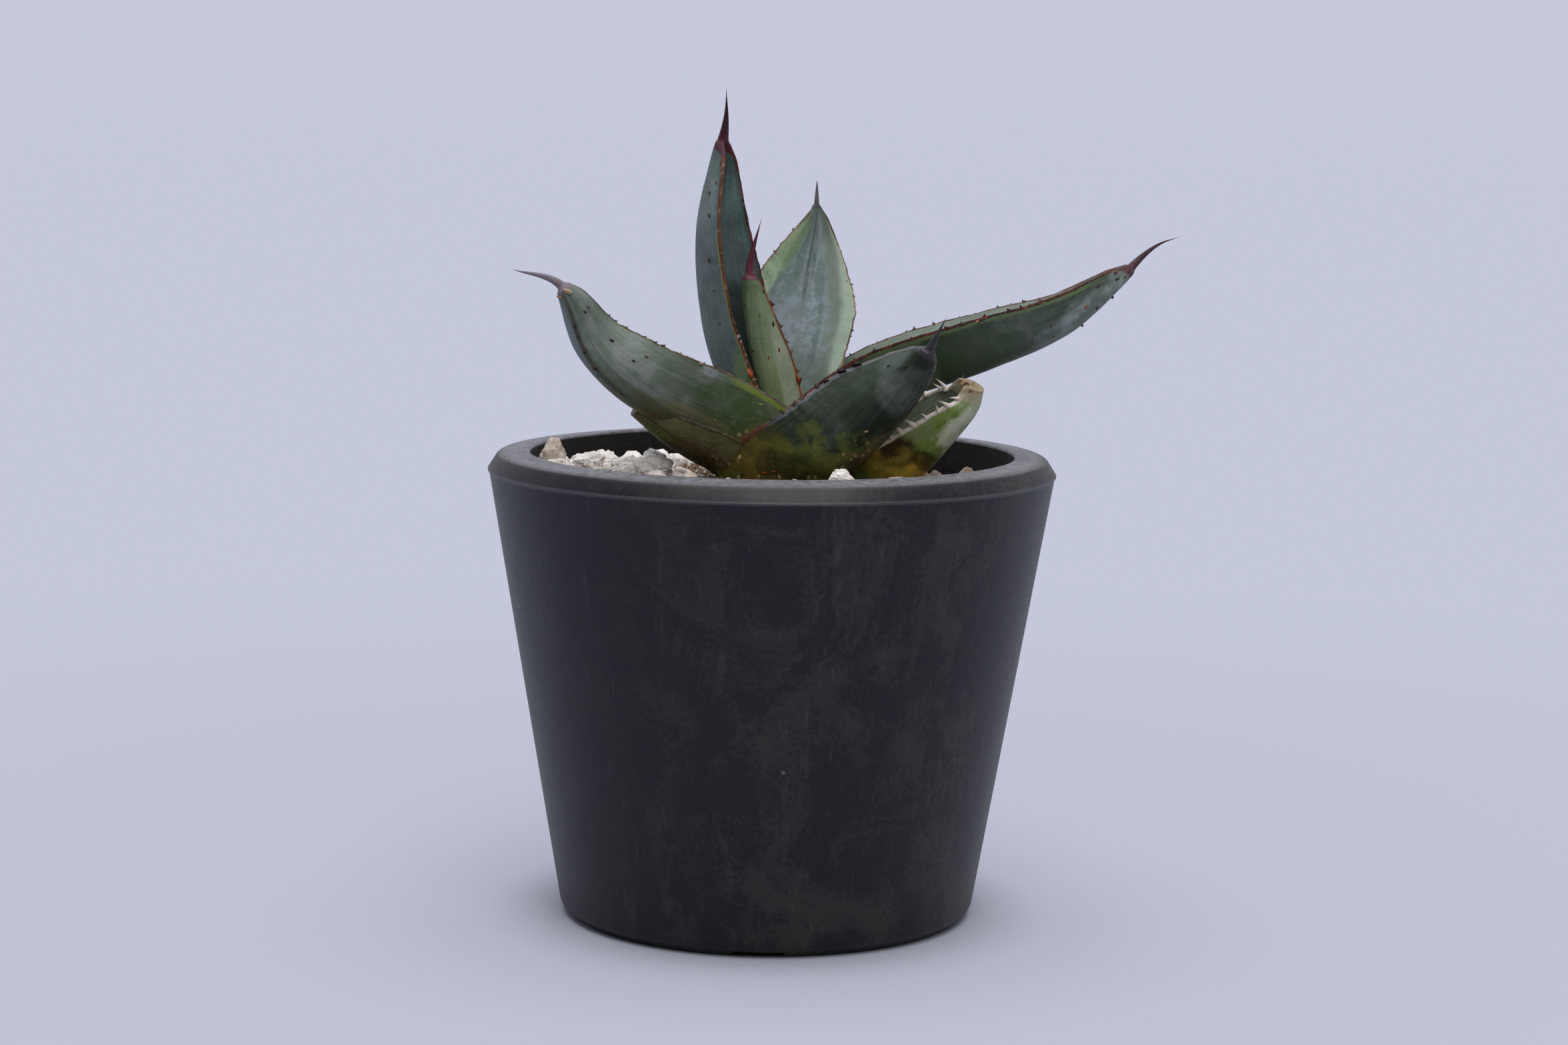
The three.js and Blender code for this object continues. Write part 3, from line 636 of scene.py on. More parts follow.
def pumice_finish():
    """Chalky white to cream stone, browner in its hollows, full of fine pores."""
    material, net, shader = new_material("pumice", 0.92, IOR=1.3)
    place = net.add("ShaderNodeTexCoord")["Object"]
    tint = net.attribute("tint")
    pores = net.cells(place, 1700.0)
    fine = net.noise(place, 1500.0, 5.0, 0.72)
    patches = net.noise(place, 230.0, 5.0, 0.62, 0.4)
    crumbs = net.noise(place, 900.0, 4.0, 0.7)
    colour = net.blend(net.ramped(tint, 0.45, 0.8), PUMICE_CREAM, PUMICE_WHITE)
    colour = net.blend(net.ramped(tint, 0.36, 0.30) * 0.85, colour, PUMICE_TAN)
    browned = net.ramped(patches, 0.50, 0.66) * net.ramped(tint, 0.5, 1.0, 0.62, 0.15)
    colour = net.blend(browned, colour, PUMICE_TAN)
    colour = net.blend(net.ramped(crumbs, 0.56, 0.72) * 0.35, colour, PUMICE_WHITE)
    pits = net.ramped(pores["Distance"], 0.36, 0.14) * net.ramped(fine, 0.46, 0.62)
    pits = pits * net.ramped(tint, 0.7, 1.0, 1.0, 0.4)
    colour = net.blend(pits * 0.75, colour, PORE)
    ground = net.blend(net.ramped(crumbs, 0.42, 0.7), EARTH, PUMICE_TAN)
    colour = net.blend(net.ramped(tint, 0.02, 0.1), ground, colour)
    relief = fine * 0.4 - pits * 0.7 + patches * 0.3 + crumbs * 0.3
    finish_shader(net, shader, colour, 0.86 + fine * 0.1, relief, 0.8)
    return material


stones = stone_points()
bpy.context.scene.collection.objects.link(stones)
pumice = grown(
    "pumice_cover",
    ground_mesh(),
    pumice_tree(),
    {**GRAINS, "Stones": stones, "Material": pumice_finish()},
)
bpy.data.objects.remove(stones)
smooth(pumice.data, 38)
placed(pumice, "pumice")

# ---------------------------------------------------------------- stem
# The short woody stump that carries the rosette, ringed with the scars of shed leaves.
# Its lower part stands in the potting mix.

STEM_PLACE = Vector((0.5, -1.0, 0.0)) * MM
STEM_PROFILE = [(0, 62), (8, 62), (8, 93.5), (6.5, 97), (3.5, 101), (0, 101)]
STEM_ROUNDING = 1.2
STEM_STEP = 0.4
STEM_SCAR_PITCH = 2.2
STEM_SCAR_DEPTH = 0.25
STEM_SIDES = 64
WOOD_DARK = (0.035, 0.025, 0.012)
WOOD_LIGHT = (0.16, 0.13, 0.06)


def scarred_stem():
    path = rounded(STEM_PROFILE, STEM_ROUNDING)
    fine = []
    for start, end in zip(path, path[1:]):
        steps = max(1, round((end - start).length / (STEM_STEP * MM)))
        fine += [start.lerp(end, step / steps) for step in range(steps)]
    fine.append(path[-1])
    for point in fine[1:-1]:
        scar = math.sin(point.y / MM / STEM_SCAR_PITCH * math.tau)
        point.x -= min(STEM_SCAR_DEPTH * MM, point.x * 0.2) * (0.5 + 0.5 * scar)
    mesh = turned_mesh("stem_stump", fine, STEM_SIDES)
    mesh.transform(Matrix.Translation(STEM_PLACE))
    smooth(mesh, 60)
    return mesh


stem = bpy.data.objects.new("stem_stump", scarred_stem())
bpy.context.scene.collection.objects.link(stem)
stem.data.materials.append(grit_finish("stem bark", WOOD_DARK, WOOD_LIGHT, 900.0))
placed(stem, "stem")

# ---------------------------------------------------------------- leaves
# Each leaf has grown as one piece: a stiff channelled blade, thick along its keel, with a horny
# red-brown margin, small hooked teeth, a hard terminal spine, and the marks that the teeth of its
# neighbours pressed into it in the bud. It clasps the stem with its broad base.

LEAF_INPUTS = {
    "Marks": "Object", "Half Width": "Float", "Base Width": "Float", "Widest": "Float", "Taper": "Float",
    "Fold Base": "Float", "Fold Tip": "Float", "Keel Base": "Float", "Keel Tip": "Float",
    "Face Base": "Vector", "Face Tip": "Vector", "End": "Float", "Spine Length": "Float",
    "Spine Radius": "Float", "Spine Taper": "Float", "Spine Drop": "Float", "Ridge": "Float",
    "Ridge From": "Float", "Tooth Pitch": "Float", "Tooth Height": "Float", "Tooth Breadth": "Float",
    "Tooth Curl": "Float", "Tooth Lean": "Float", "Teeth From": "Float", "Teeth To": "Float",
    "Fuzz": "Float", "Fray": "Int", "Relief": "Float", "Seed": "Int", "Material": "Material",
}
BLADE_ROWS = 0.82
LEAF_ROWS = 210
LEAF_AROUND = 81
CHANNEL_ROUNDING = 0.3
MARGIN_THICKNESS = 0.5 * MM
KEEL_SHARPNESS = 1.7
KEEL_THINNING = 0.8
TOOTH_ROOT = 0.3 * MM
THORN_WAIST = 0.45


def leaf_skin(net, given, midrib, length, share, tip, side, up):
    """A place on the leaf's skin. share runs along the blade and tip along the spine, both from 0 to 1.
    side is -1 and 1 at the margins, and up is -1 on the back and 1 in the channel."""
    blade_share = 1.0 - given["Spine Length"] / length
    sample = net.add("GeometryNodeSampleCurve", {"mode": "FACTOR"}, {
        "Curves": midrib, "Factor": share * blade_share + tip * (1.0 - blade_share),
    })
    origin, ahead = sample["Position"], sample["Tangent"]
    face = net.mix(share, given["Face Base"], given["Face Tip"])
    out = net.vector("NORMALIZE", face - ahead * net.vector("DOT_PRODUCT", face, ahead)["Value"])
    across = net.vector("CROSS_PRODUCT", ahead, out)

    # The blade: how wide it is here, how far its halves fold up, and how thick it is.
    end = given["End"]
    rising = net.sum("MINIMUM", share / given["Widest"], 1.0)
    rising = given["Base Width"] + (1.0 - given["Base Width"]) * net.sum("SINE", rising * (math.pi / 2))
    falling = net.sum("MAXIMUM", (share - given["Widest"]) / (1.0 - given["Widest"]), 0.0) ** given["Taper"]
    width = (end + (given["Half Width"] - end) * (1.0 - falling)) * rising
    waver = net.add("ShaderNodeTexNoise", {"noise_dimensions": "1D"}, {
        "W": share * 22.0 + side * 2.5 + given["Seed"] * 11.3, "Scale": 1.0, "Detail": 1.0,
    })
    width = width * (1.0 + (waver - 0.5) * 0.045)
    fold = net.mix(share, given["Fold Base"], given["Fold Tip"])
    spread = width * net.sum("COSINE", fold)
    depth = width * net.sum("SINE", fold) / (math.hypot(1, CHANNEL_ROUNDING) - CHANNEL_ROUNDING)
    bow = net.sum("SQRT", side * side + CHANNEL_ROUNDING ** 2)
    slope = depth * side / bow
    steep = net.sum("SQRT", spread * spread + slope * slope)
    keel = net.mix(share ** KEEL_THINNING, given["Keel Base"], given["Keel Tip"])
    body = 1.0 - abs(side) ** KEEL_SHARPNESS
    ridge = given["Ridge"] * net.ramped(abs(side) * width, 0.75 * MM, 0.0)
    ridge = ridge * net.ramped(share, given["Ridge From"], given["Ridge From"] + 0.2)
    thickness = MARGIN_THICKNESS + (keel - MARGIN_THICKNESS) * body + ridge
    lid = net.sum("TANH", up * 5.0)
    sink = thickness * (lid - 1.0) / 2.0
    sideways = spread * side - slope / steep * sink
    outward = depth * (bow - CHANNEL_ROUNDING) + spread / steep * sink

    # The spine: a round hollow-sided cone. Where there is none, the blade ends in a flat cut.
    armed = net.sum("GREATER_THAN", given["Spine Length"], MM)
    shrink = net.sum("MAXIMUM", 1.0 - tip, 0.0)
    radius = given["Spine Radius"] * shrink ** given["Spine Taper"]
    drop = given["Spine Drop"] * shrink
    rounding = net.ramped(share + tip, 0.955, 1.085) * armed
    sideways = net.mix(rounding, sideways, radius * side)
    outward = net.mix(rounding, outward, radius * up - drop)
    level = net.mix(armed, shrink, 1.0)
    return {
        "place": origin + across * (sideways * level) + out * (outward * level),
        "normal": (out * (spread / steep) - across * (slope / steep)) * lid,
        "ahead": ahead,
        "inset": width * (1.0 - abs(side)) / MM,
    }


def kept(net, geometry, values):
    """Keeps the named values on every point, for the finish to read."""
    for name, value in values.items():
        geometry = net.keep(geometry, name, value)
    return geometry


def aimed(net, normal, ahead):
    """The turn that stands a shape up along a normal and points its X axis ahead."""
    upright = net.add("FunctionNodeAlignRotationToVector", {"axis": "Z"}, {"Vector": normal})
    return net.add("FunctionNodeAlignRotationToVector", {"axis": "X", "pivot_axis": "Z"}, {
        "Rotation": upright, "Vector": ahead,
    })


def chance(net, given, number, low=0.0, high=1.0):
    kind = "FLOAT_VECTOR" if isinstance(low, tuple) else "FLOAT"
    inputs = {"Min": low, "Max": high, "Seed": given["Seed"] * 20 + number}
    return net.add("FunctionNodeRandomValue", {"data_type": kind}, inputs)


def thorn(net, sides, segments, curl):
    """A small horn, 1 high and 1 in radius, that thins to a point and curls along X."""
    cone = net.add("GeometryNodeMeshCone", None, {
        "Vertices": sides, "Side Segments": segments,
        "Radius Top": 0.04, "Radius Bottom": 1.0, "Depth": 1.0,
    })["Mesh"]
    place = net.add("GeometryNodeInputPosition")
    height = net.axes(place)["Z"]
    slim = 1.0 - height * THORN_WAIST
    bent = place * net.joined(slim, slim, 1.0) + net.joined(height * height * curl)
    return net.moved(cone, Position=bent)


def leaf_tree():
    tree, net, given = new_tree("agave leaf", LEAF_INPUTS)
    midrib = net.add("GeometryNodeMeshToCurve", None, {"Mesh": given["Geometry"]})
    length = net.add("GeometryNodeCurveLength", None, {"Curve": midrib})
    place = net.add("GeometryNodeInputPosition")
    normal = net.add("GeometryNodeInputNormal")

    def skin_at(share, tip, side, up):
        return leaf_skin(net, given, midrib, length, share, tip, side, up)

    # The skin: a sheet rolled round the midrib, closed at the base and at the tip of the spine.
    sheet = net.add("GeometryNodeMeshGrid", None, {
        "Size X": 1.0, "Size Y": 1.0, "Vertices X": LEAF_ROWS, "Vertices Y": LEAF_AROUND,
    })["Mesh"]
    flat = net.axes(place)
    row = flat["X"] + 0.5
    turn = (flat["Y"] + 0.5) * math.tau
    turn = turn + 0.28 * net.sum("SINE", turn * 2.0)
    share = net.sum("MINIMUM", row / BLADE_ROWS, 1.0)
    tip = net.sum("MAXIMUM", (row - BLADE_ROWS) / (1.0 - BLADE_ROWS), 0.0) ** 1.4
    side, up = net.sum("COSINE", turn), net.sum("SINE", turn)
    skin = skin_at(share, tip, side, up)
    heart = skin_at(share, tip, 0.0 * side, 0.0 * side)
    closing = net.sum("MINIMUM", row * (LEAF_ROWS - 1.0), 1.0)
    sheet = kept(net, sheet, {
        "along": share + tip, "side": side, "up": up, "inset": skin["inset"], "horn": 0.0, "pale": 0.0,
    })
    blade = net.moved(sheet, Position=net.mix(closing, heart["place"], skin["place"]))
    blade = net.add("GeometryNodeMergeByDistance", None, {"Geometry": blade, "Distance": 1e-6})
    shifted = place + net.joined(given["Seed"] * 0.31, given["Seed"] * 0.17)
    swell = (net.noise(shifted, 75.0, 3.0, 0.5) - 0.5) + (net.noise(shifted, 420.0, 2.0) - 0.5) * 0.16
    along = net.kept_value("along")
    bead = net.ramped(net.kept_value("inset"), 0.7, 0.2) * 0.08 * MM
    lift = swell * given["Relief"] * net.ramped(along, 1.0, 0.9) + bead * net.ramped(along, 1.0, 0.95)
    blade = net.moved(blade, Offset=normal * lift)
    pieces = [blade]

    # The teeth: hooked horns along both margins, uneven in place, size and lean.
    tooth = thorn(net, 6, 4, given["Tooth Curl"])
    blade_length = length - given["Spine Length"]
    pitch = net.sum("MAXIMUM", given["Tooth Pitch"], 0.1 * MM)
    for margin in (-1.0, 1.0):
        count = net.sum("FLOOR", (given["Teeth To"] - given["Teeth From"]) * blade_length / pitch)
        points = net.add("GeometryNodePoints", None, {"Count": count})
        index = net.add("GeometryNodeInputIndex")
        first_draw = 4 + 3 * int(margin)
        place_draw, size_draw, lean_draw = (chance(net, given, first_draw + k) for k in range(3))
        share = given["Teeth From"] + (index + place_draw * 0.7) * pitch / blade_length
        root = skin_at(share, 0.0 * share, margin + 0.0 * share, 0.0 * share)
        inner = skin_at(share, 0.0 * share, margin * 0.8 + 0.0 * share, 0.0 * share)
        outward = net.vector("NORMALIZE", root["place"] - inner["place"])
        points = kept(net, points, {
            "along": share, "side": margin, "up": 0.0, "inset": 0.0, "horn": 1.0, "pale": size_draw,
        })
        points = net.moved(points, Position=root["place"] - outward * TOOTH_ROOT)
        lean = net.joined(y=(lean_draw - 0.5) * 0.9 + given["Tooth Lean"])
        aim = net.add("FunctionNodeRotateRotation", {"rotation_space": "LOCAL"}, {
            "Rotation": aimed(net, outward, root["ahead"]), "Rotate By": lean,
        })
        tall = given["Tooth Height"] * (0.55 + size_draw * 0.7) + TOOTH_ROOT
        scale = net.joined(tall * given["Tooth Breadth"], tall * 0.22 + 0.14 * MM, tall)
        pieces.append(net.copied(tooth, points, Rotation=aim, Scale=scale))

    # The marks: small corky scabs on the blade, and prickles where they sit on the keel.
    marks = net.add("GeometryNodeObjectInfo", None, {"Object": given["Marks"]})["Geometry"]
    spot = net.axes(place)
    facing = -net.sum("SIGN", spot["Z"])
    share, side = spot["X"], spot["Y"]
    root = skin_at(share, 0.0 * share, side, facing)
    on_keel = net.ramped(abs(side), 0.05, 0.02)
    marks = kept(net, marks, {
        "mark": abs(spot["Z"]), "keel": on_keel,
        "along": share, "side": side, "up": facing, "inset": 5.0, "horn": 0.75,
    })
    marks = net.moved(marks, Position=root["place"])
    size = net.kept_value("mark") * MM
    scab = net.add("GeometryNodeMeshIcoSphere", None, {"Radius": 1.0, "Subdivisions": 3})["Mesh"]
    ragged = (net.noise(place, 1.6, 2.0) - 0.5) * 0.8
    scab = net.moved(scab, Offset=place * ragged)
    scale = net.joined(size * 0.62, size * 0.5, size * (0.2 + net.kept_value("keel") * 0.7))
    aim = aimed(net, root["normal"], root["ahead"])
    pieces.append(net.copied(scab, marks, Rotation=aim, Scale=scale))

    # Dried fibres: thinly over an old leaf, and as a frayed tuft round a cut end.
    fibre = thorn(net, 4, 4, 0.5)
    hairs = net.add("GeometryNodeDistributePointsOnFaces", {"distribute_method": "RANDOM"}, {
        "Mesh": blade, "Density": given["Fuzz"], "Seed": given["Seed"],
    })
    hairs = kept(net, hairs, {"horn": 0.5, "pale": chance(net, given, 12)})
    stray = chance(net, given, 13, (-1.0, -1.0, -1.0), (1.0, 1.0, 1.0))
    aim = aimed(net, stray + (0.3, -0.2, 0.25), (0.0, 0.0, 1.0))
    long = chance(net, given, 14) ** 2.0
    scale = net.joined(0.10 * MM, 0.07 * MM, (0.4 + long * 2.2) * MM)
    pieces.append(net.copied(fibre, hairs, Rotation=aim, Scale=scale))
    frays = net.add("GeometryNodePoints", None, {"Count": given["Fray"]})
    end_side = chance(net, given, 15, -0.95, 0.95)
    end_up = chance(net, given, 16, -1.0, 1.0)
    root = skin_at(1.0 + 0.0 * end_side, 0.0 * end_side, end_side, end_up)
    frays = kept(net, frays, {
        "along": 1.0, "side": end_side, "up": end_up, "inset": 1.0, "horn": 0.5,
        "pale": chance(net, given, 17),
    })
    frays = net.moved(frays, Position=root["place"] - root["ahead"] * (0.8 * MM))
    stray = chance(net, given, 18, (-0.9, -0.9, -0.9), (0.9, 0.9, 0.9))
    aim = aimed(net, root["ahead"] + stray * 1.1, stray)
    scale = net.joined(0.45 * MM, 0.26 * MM, (0.9 + chance(net, given, 19) * 1.0) * MM)
    pieces.append(net.copied(fibre, frays, Rotation=aim, Scale=scale))
    close_tree(net, net.add("GeometryNodeJoinGeometry", None, {"Geometry": pieces}), given["Material"])
    return tree


def midrib_mesh(name, points, steps=24):
    """The line along the bottom of the channel, through the given points, as a chain of edges."""
    places = [Vector(point) for point in points]
    places = [places[0] * 2 - places[1], *places, places[-1] * 2 - places[-2]]
    line = []
    for before, start, end, after in zip(places, places[1:], places[2:], places[3:]):
        leaving, arriving = (end - before) / 2, (after - start) / 2
        for step in range(steps):
            t = step / steps
            line.append(
                start * (2 * t**3 - 3 * t**2 + 1)
                + leaving * (t**3 - 2 * t**2 + t)
                + end * (3 * t**2 - 2 * t**3)
                + arriving * (t**3 - t**2)
            )
    line.append(places[-2])
    mesh = bpy.data.meshes.new(name)
    mesh.from_pydata([point * MM for point in line], [(i, i + 1) for i in range(len(line) - 1)], [])
    return mesh


# Horn, cork, wax and dirt, as shares of light.
WAX = (0.38, 0.42, 0.46)
OLIVE = (0.120, 0.098, 0.016)
MOSS = (0.085, 0.125, 0.014)
DIRT = (0.010, 0.006, 0.003)
CORK = (0.50, 0.36, 0.20)
RUST = (0.30, 0.060, 0.012)
HORN_RED = (0.105, 0.026, 0.016)
HORN_DARK = (0.026, 0.011, 0.011)
HORN_PALE = (0.52, 0.45, 0.37)
SPINE_GREY = (0.150, 0.135, 0.145)

# What a leaf measures where its own shape says nothing else.
PLAIN_SHAPE = {
    "relief": 0.4,
    "ridge": (0, 0.5),
    "tooth_form": (0.72, 0.42, -0.22),
    "fuzz": 0,
    "fray": 0,
}

# How far from a margin the bloom begins, in millimetres.
BLOOM_INSET = 0.8

# What a leaf has where its own look says nothing else.
PLAIN_LOOK = {
    "wax": WAX,
    "bloomed": (0.15, 0.4, 1.0, 0.9),
    "bands": 0.0,
    "dirt": 0.0,
    "dirt_top": 104.0,
    "scars": 0.0,
    "teeth": HORN_DARK,
    "teeth_pale": 0.1,
    "spine_root": None,
    "horny_from": 0.99,
    "spine_worn": 0.2,
    "keel_line": 0.0,
    "keel_from": 0.8,
}


class Skin:
    """What the finish of a leaf reads at each point: where it lies on the leaf, and its patterns."""

    def __init__(self, net, seed):
        place = net.add("ShaderNodeTexCoord")["Object"]
        self.net = net
        self.along, self.side, self.up = (net.attribute(name) for name in ("along", "side", "up"))
        self.inset, self.horn, self.pale = (net.attribute(name) for name in ("inset", "horn", "pale"))
        self.height = net.axes(place)["Z"] / MM
        self.place = place + (seed * 0.13, seed * 0.07, 0.0)
        self.clouds = net.noise(self.place, 62.0, 4.0, 0.58, 0.4)
        self.blots = net.noise(self.place, 150.0, 4.0, 0.65, 0.8)
        self.small = net.noise(self.place, 300.0, 4.0, 0.6)
        self.fine = net.noise(self.place, 1300.0, 3.0, 0.6)
        self.fibres = self.drawn(3.0, 26.0, seed)
        self.threads = self.drawn(6.0, 90.0, seed + 3.0)
        self.bands = self.drawn(32.0, 5.0, seed + 7.0)

    def drawn(self, along, across, seed):
        """Noise drawn out along the leaf or across it."""
        grain = self.net.joined(self.along * along, self.side * across, self.up * 1.5 + seed)
        return self.net.noise(grain, 1.0, 4.0, 0.6)

    def oval(self, along, side, length, breadth, facing, ragged):
        """1 inside an oval spot of the skin and 0 outside it."""
        x, y = (self.along - along) / length, (self.side - side) / breadth
        away = self.net.sum("SQRT", x * x + y * y)
        away = away + (self.clouds - 0.5) * ragged + (self.small - 0.5) * ragged
        return self.net.ramped(away, 1.2, 0.7) * self.net.ramped(self.up * facing, 0.25, 0.0)


def leaf_finish(name, seed, look):
    """A waxy leaf. look gives its colours and how strong its bloom, stains and scars are."""
    material, net, shader = new_material(name, 0.5, IOR=1.33)
    skin = Skin(net, seed)
    along, side, up, inset = skin.along, skin.side, skin.up, skin.inset

    # The green, darker and lighter in clouds and along the fibres.
    channel = net.ramped(up, -0.15, 0.15)
    dark, light = look["back"]
    channel_dark, channel_light = look.get("channel", look["back"])
    tone = net.ramped(skin.clouds * 0.5 + skin.blots * 0.2 + skin.fibres * 0.3, 0.40, 0.60)
    colour = net.blend(channel, net.blend(tone, dark, light), net.blend(tone, channel_dark, channel_light))
    colour = net.blend(net.ramped(skin.threads, 0.44, 0.66) * look["streaks"], colour, look["streak"])

    # Wax bloom lies in clouds and streaks; it is rubbed off near the margins.
    veil = skin.clouds * 0.32 + skin.blots * 0.30 + skin.fibres * 0.15 + skin.small * 0.23
    veil = net.ramped(veil + (skin.bands - 0.5) * look["bands"], 0.43, 0.58)
    start, full, last, fading = look["bloomed"]
    zone = net.ramped(along, start, full) * net.ramped(along, last, fading)
    zone = zone * net.ramped(inset, BLOOM_INSET * 0.6, BLOOM_INSET * 1.4)
    bloom = zone * (veil * 0.75 + 0.25) * look["bloom"]
    for *spot, strength in look.get("blooms", []):
        bloom = net.sum("MAXIMUM", bloom, skin.oval(*spot, 0.9) * (veil * 0.6 + 0.4) * strength)
    colour = net.blend(bloom, colour, look["wax"])

    # Olive algae, moss and dirt gather low down.
    top = look["dirt_top"]
    low = net.ramped(skin.height + (skin.small - 0.5) * 9.0 + (skin.clouds - 0.5) * 14.0, top, top - 7.0)
    low = low * look["dirt"]
    colour = net.blend(low * 0.85, colour, OLIVE)
    mossy = low * net.ramped(skin.clouds * 0.5 + skin.small * 0.5, 0.45, 0.56)
    colour = net.blend(mossy * 0.85, colour, MOSS)
    stain = net.ramped(skin.blots * 0.6 + skin.small * 0.4, 0.50, 0.58) * low
    colour = net.blend(stain * 0.65, colour, DIRT)
    for *spot, tint, strength, ragged in look["patches"]:
        least = 1.0 - 0.55 * min(ragged, 1.0)
        mottle = net.ramped(skin.small * 0.6 + skin.blots * 0.4, 0.40, 0.56, least, 1.0)
        colour = net.blend(skin.oval(*spot, ragged) * mottle * strength, colour, tint)

    # Small corky scars, strewn in patches low down.
    specks = net.cells(net.stretched(skin.place, (760.0, 760.0, 520.0)), 1.0)
    chosen = net.axes(specks["Color"])["X"]
    corky = net.ramped(specks["Distance"] + (skin.fine - 0.5) * 0.9, 0.32, 0.22)
    corky = corky * net.ramped(chosen, 0.50, 0.54)
    corky = corky * net.ramped(net.noise(skin.place, 95.0, 2.0), 0.44, 0.58) * look["scars"]
    corky = corky * net.ramped(skin.height, top + 4.0, top - 3.0)
    colour = net.blend(corky, colour, CORK)

    # Each margin: a strip of other colour inside it, then its line of horn.
    ragged = inset + (skin.small - 0.5) * 0.5
    worn = net.ramped(skin.fine, 0.56, 0.72)
    for sign, edge in look["edges"].items():
        here = net.sum("GREATER_THAN", side * sign, 0.0)
        if "strip" in edge:
            width, tint, start, last, facing = edge["strip"]
            strip = net.ramped(inset + (skin.clouds - 0.5) * width * 0.7, width * 1.15, width * 0.75) * here
            strip = strip * net.ramped(along, start - 0.05, start + 0.05)
            strip = strip * net.ramped(along, last + 0.05, last - 0.05)
            colour = net.blend(strip * net.ramped(up * facing, 0.6, 0.1), colour, tint)
        width, red, dark_red, start, last = edge["line"]
        line = net.ramped(ragged, width * 1.2, width * 0.7) * here
        line = line * net.ramped(along, start - 0.04, start + 0.04)
        line = line * net.ramped(along, last + 0.02, last - 0.02)
        horn = net.blend(net.ramped(skin.blots, 0.42, 0.60), dark_red, red)
        horn = net.blend(worn * edge.get("worn", 0.2), horn, HORN_PALE)
        colour = net.blend(line, colour, horn)
    keel = net.ramped(abs(side) * 16.0 + (skin.small - 0.5) * 0.9, 0.75, 0.25) * net.ramped(up, 0.0, -0.4)
    keel = keel * net.ramped(along, look["keel_from"] - 0.08, look["keel_from"] + 0.08) * look["keel_line"]
    colour = net.blend(keel * net.ramped(skin.blots, 0.36, 0.58, 0.5, 1.0), colour, HORN_DARK)

    # The spine, and the teeth, marks and fibres that stand on the skin.
    decurrent = along + abs(side) * abs(side) * abs(side) * 0.018 + (skin.small - 0.5) * 0.012
    tip = net.ramped(decurrent, look["horny_from"] - 0.006, look["horny_from"] + 0.006)
    spine = net.blend(net.ramped(along, 1.0, 1.35), look["spine_root"] or look["spine"], look["spine"])
    spine = net.blend(net.ramped(skin.threads, 0.45, 0.62) * look["spine_worn"], spine, SPINE_GREY)
    spine = net.blend(worn * 0.5 * look["spine_worn"], spine, HORN_PALE)
    colour = net.blend(tip, colour, spine)
    fibre = net.blend(skin.pale, (0.07, 0.045, 0.02), look.get("fibre", CORK))
    colour = net.blend(net.ramped(skin.horn, 0.3, 0.4), colour, fibre)
    scab = net.blend(net.ramped(skin.pale, 0.0, 0.5), (0.022, 0.010, 0.008), RUST)
    scab = net.blend(net.ramped(skin.pale, 0.5, 1.0), scab, CORK)
    colour = net.blend(net.ramped(skin.horn, 0.6, 0.7), colour, scab)
    bleached = net.ramped(skin.pale + (skin.small - 0.5), 0.9, 0.4) * look["teeth_pale"]
    teeth = net.blend(bleached, look["teeth"], HORN_PALE)
    colour = net.blend(net.ramped(skin.horn, 0.85, 0.95), colour, teeth)

    roughness = 0.44 + bloom * 0.16 + low * 0.2 + skin.small * 0.12 - tip * 0.12
    relief = skin.fibres * 0.20 + skin.small * 0.24 + skin.fine * 0.10 + skin.threads * 0.07
    relief = relief + corky * 0.25 + stain * skin.small * 0.2 + low * skin.fine * 0.3
    finish_shader(net, shader, colour, roughness, relief, 0.45)
    return material


LEAF_TREE = leaf_tree()


def leaf(node, shape, marks, look):
    """Grows one leaf from its measures in millimetres and degrees, and dresses it. A mark is its place
    along and across the leaf, its size, 1 on the back or -1 in the channel, and how pale it is."""
    spots = bpy.data.meshes.new(node + " marks")
    spots.from_pydata([(along, side, size * facing) for along, side, size, facing, _ in marks], [], [])
    pale = spots.attributes.new("pale", "FLOAT", "POINT")
    for item, mark in zip(pale.data, marks):
        item.value = mark[-1]
    spots = bpy.data.objects.new(node + " marks", spots)
    bpy.context.scene.collection.objects.link(spots)
    shape = {**PLAIN_SHAPE, **shape}
    material = leaf_finish(node.replace("_", " "), float(shape["seed"]), {**PLAIN_LOOK, **look})
    piece = grown("agave_" + node, midrib_mesh(node, shape["midrib"]), LEAF_TREE, {
        "Marks": spots,
        "Half Width": shape["half"] * MM,
        "Base Width": shape["base"],
        "Widest": shape["widest"],
        "Taper": float(shape["taper"]),
        "Fold Base": math.radians(shape["fold"][0]),
        "Fold Tip": math.radians(shape["fold"][1]),
        "Keel Base": shape["thick"][0] * MM,
        "Keel Tip": shape["thick"][1] * MM,
        "Face Base": shape["face"][0],
        "Face Tip": shape["face"][1],
        "End": shape["end"] * MM,
        "Spine Length": shape["spine"][0] * MM,
        "Spine Radius": shape["spine"][1] * MM,
        "Spine Taper": float(shape["spine"][2]),
        "Spine Drop": shape["spine"][3] * MM,
        "Ridge": shape["ridge"][0] * MM,
        "Ridge From": shape["ridge"][1],
        "Tooth Pitch": shape["teeth"][0] * MM,
        "Tooth Height": shape["teeth"][1] * MM,
        "Tooth Breadth": shape["tooth_form"][0],
        "Tooth Curl": shape["tooth_form"][1],
        "Tooth Lean": shape["tooth_form"][2],
        "Teeth From": float(shape["toothed"][0]),
        "Teeth To": float(shape["toothed"][1]),
        "Fuzz": float(shape["fuzz"]),
        "Fray": shape["fray"],
        "Relief": shape["relief"] * MM,
        "Seed": shape["seed"],
        "Material": material,
    })
    bpy.data.objects.remove(spots)
    smooth(piece.data, 60)
    placed(piece, node)


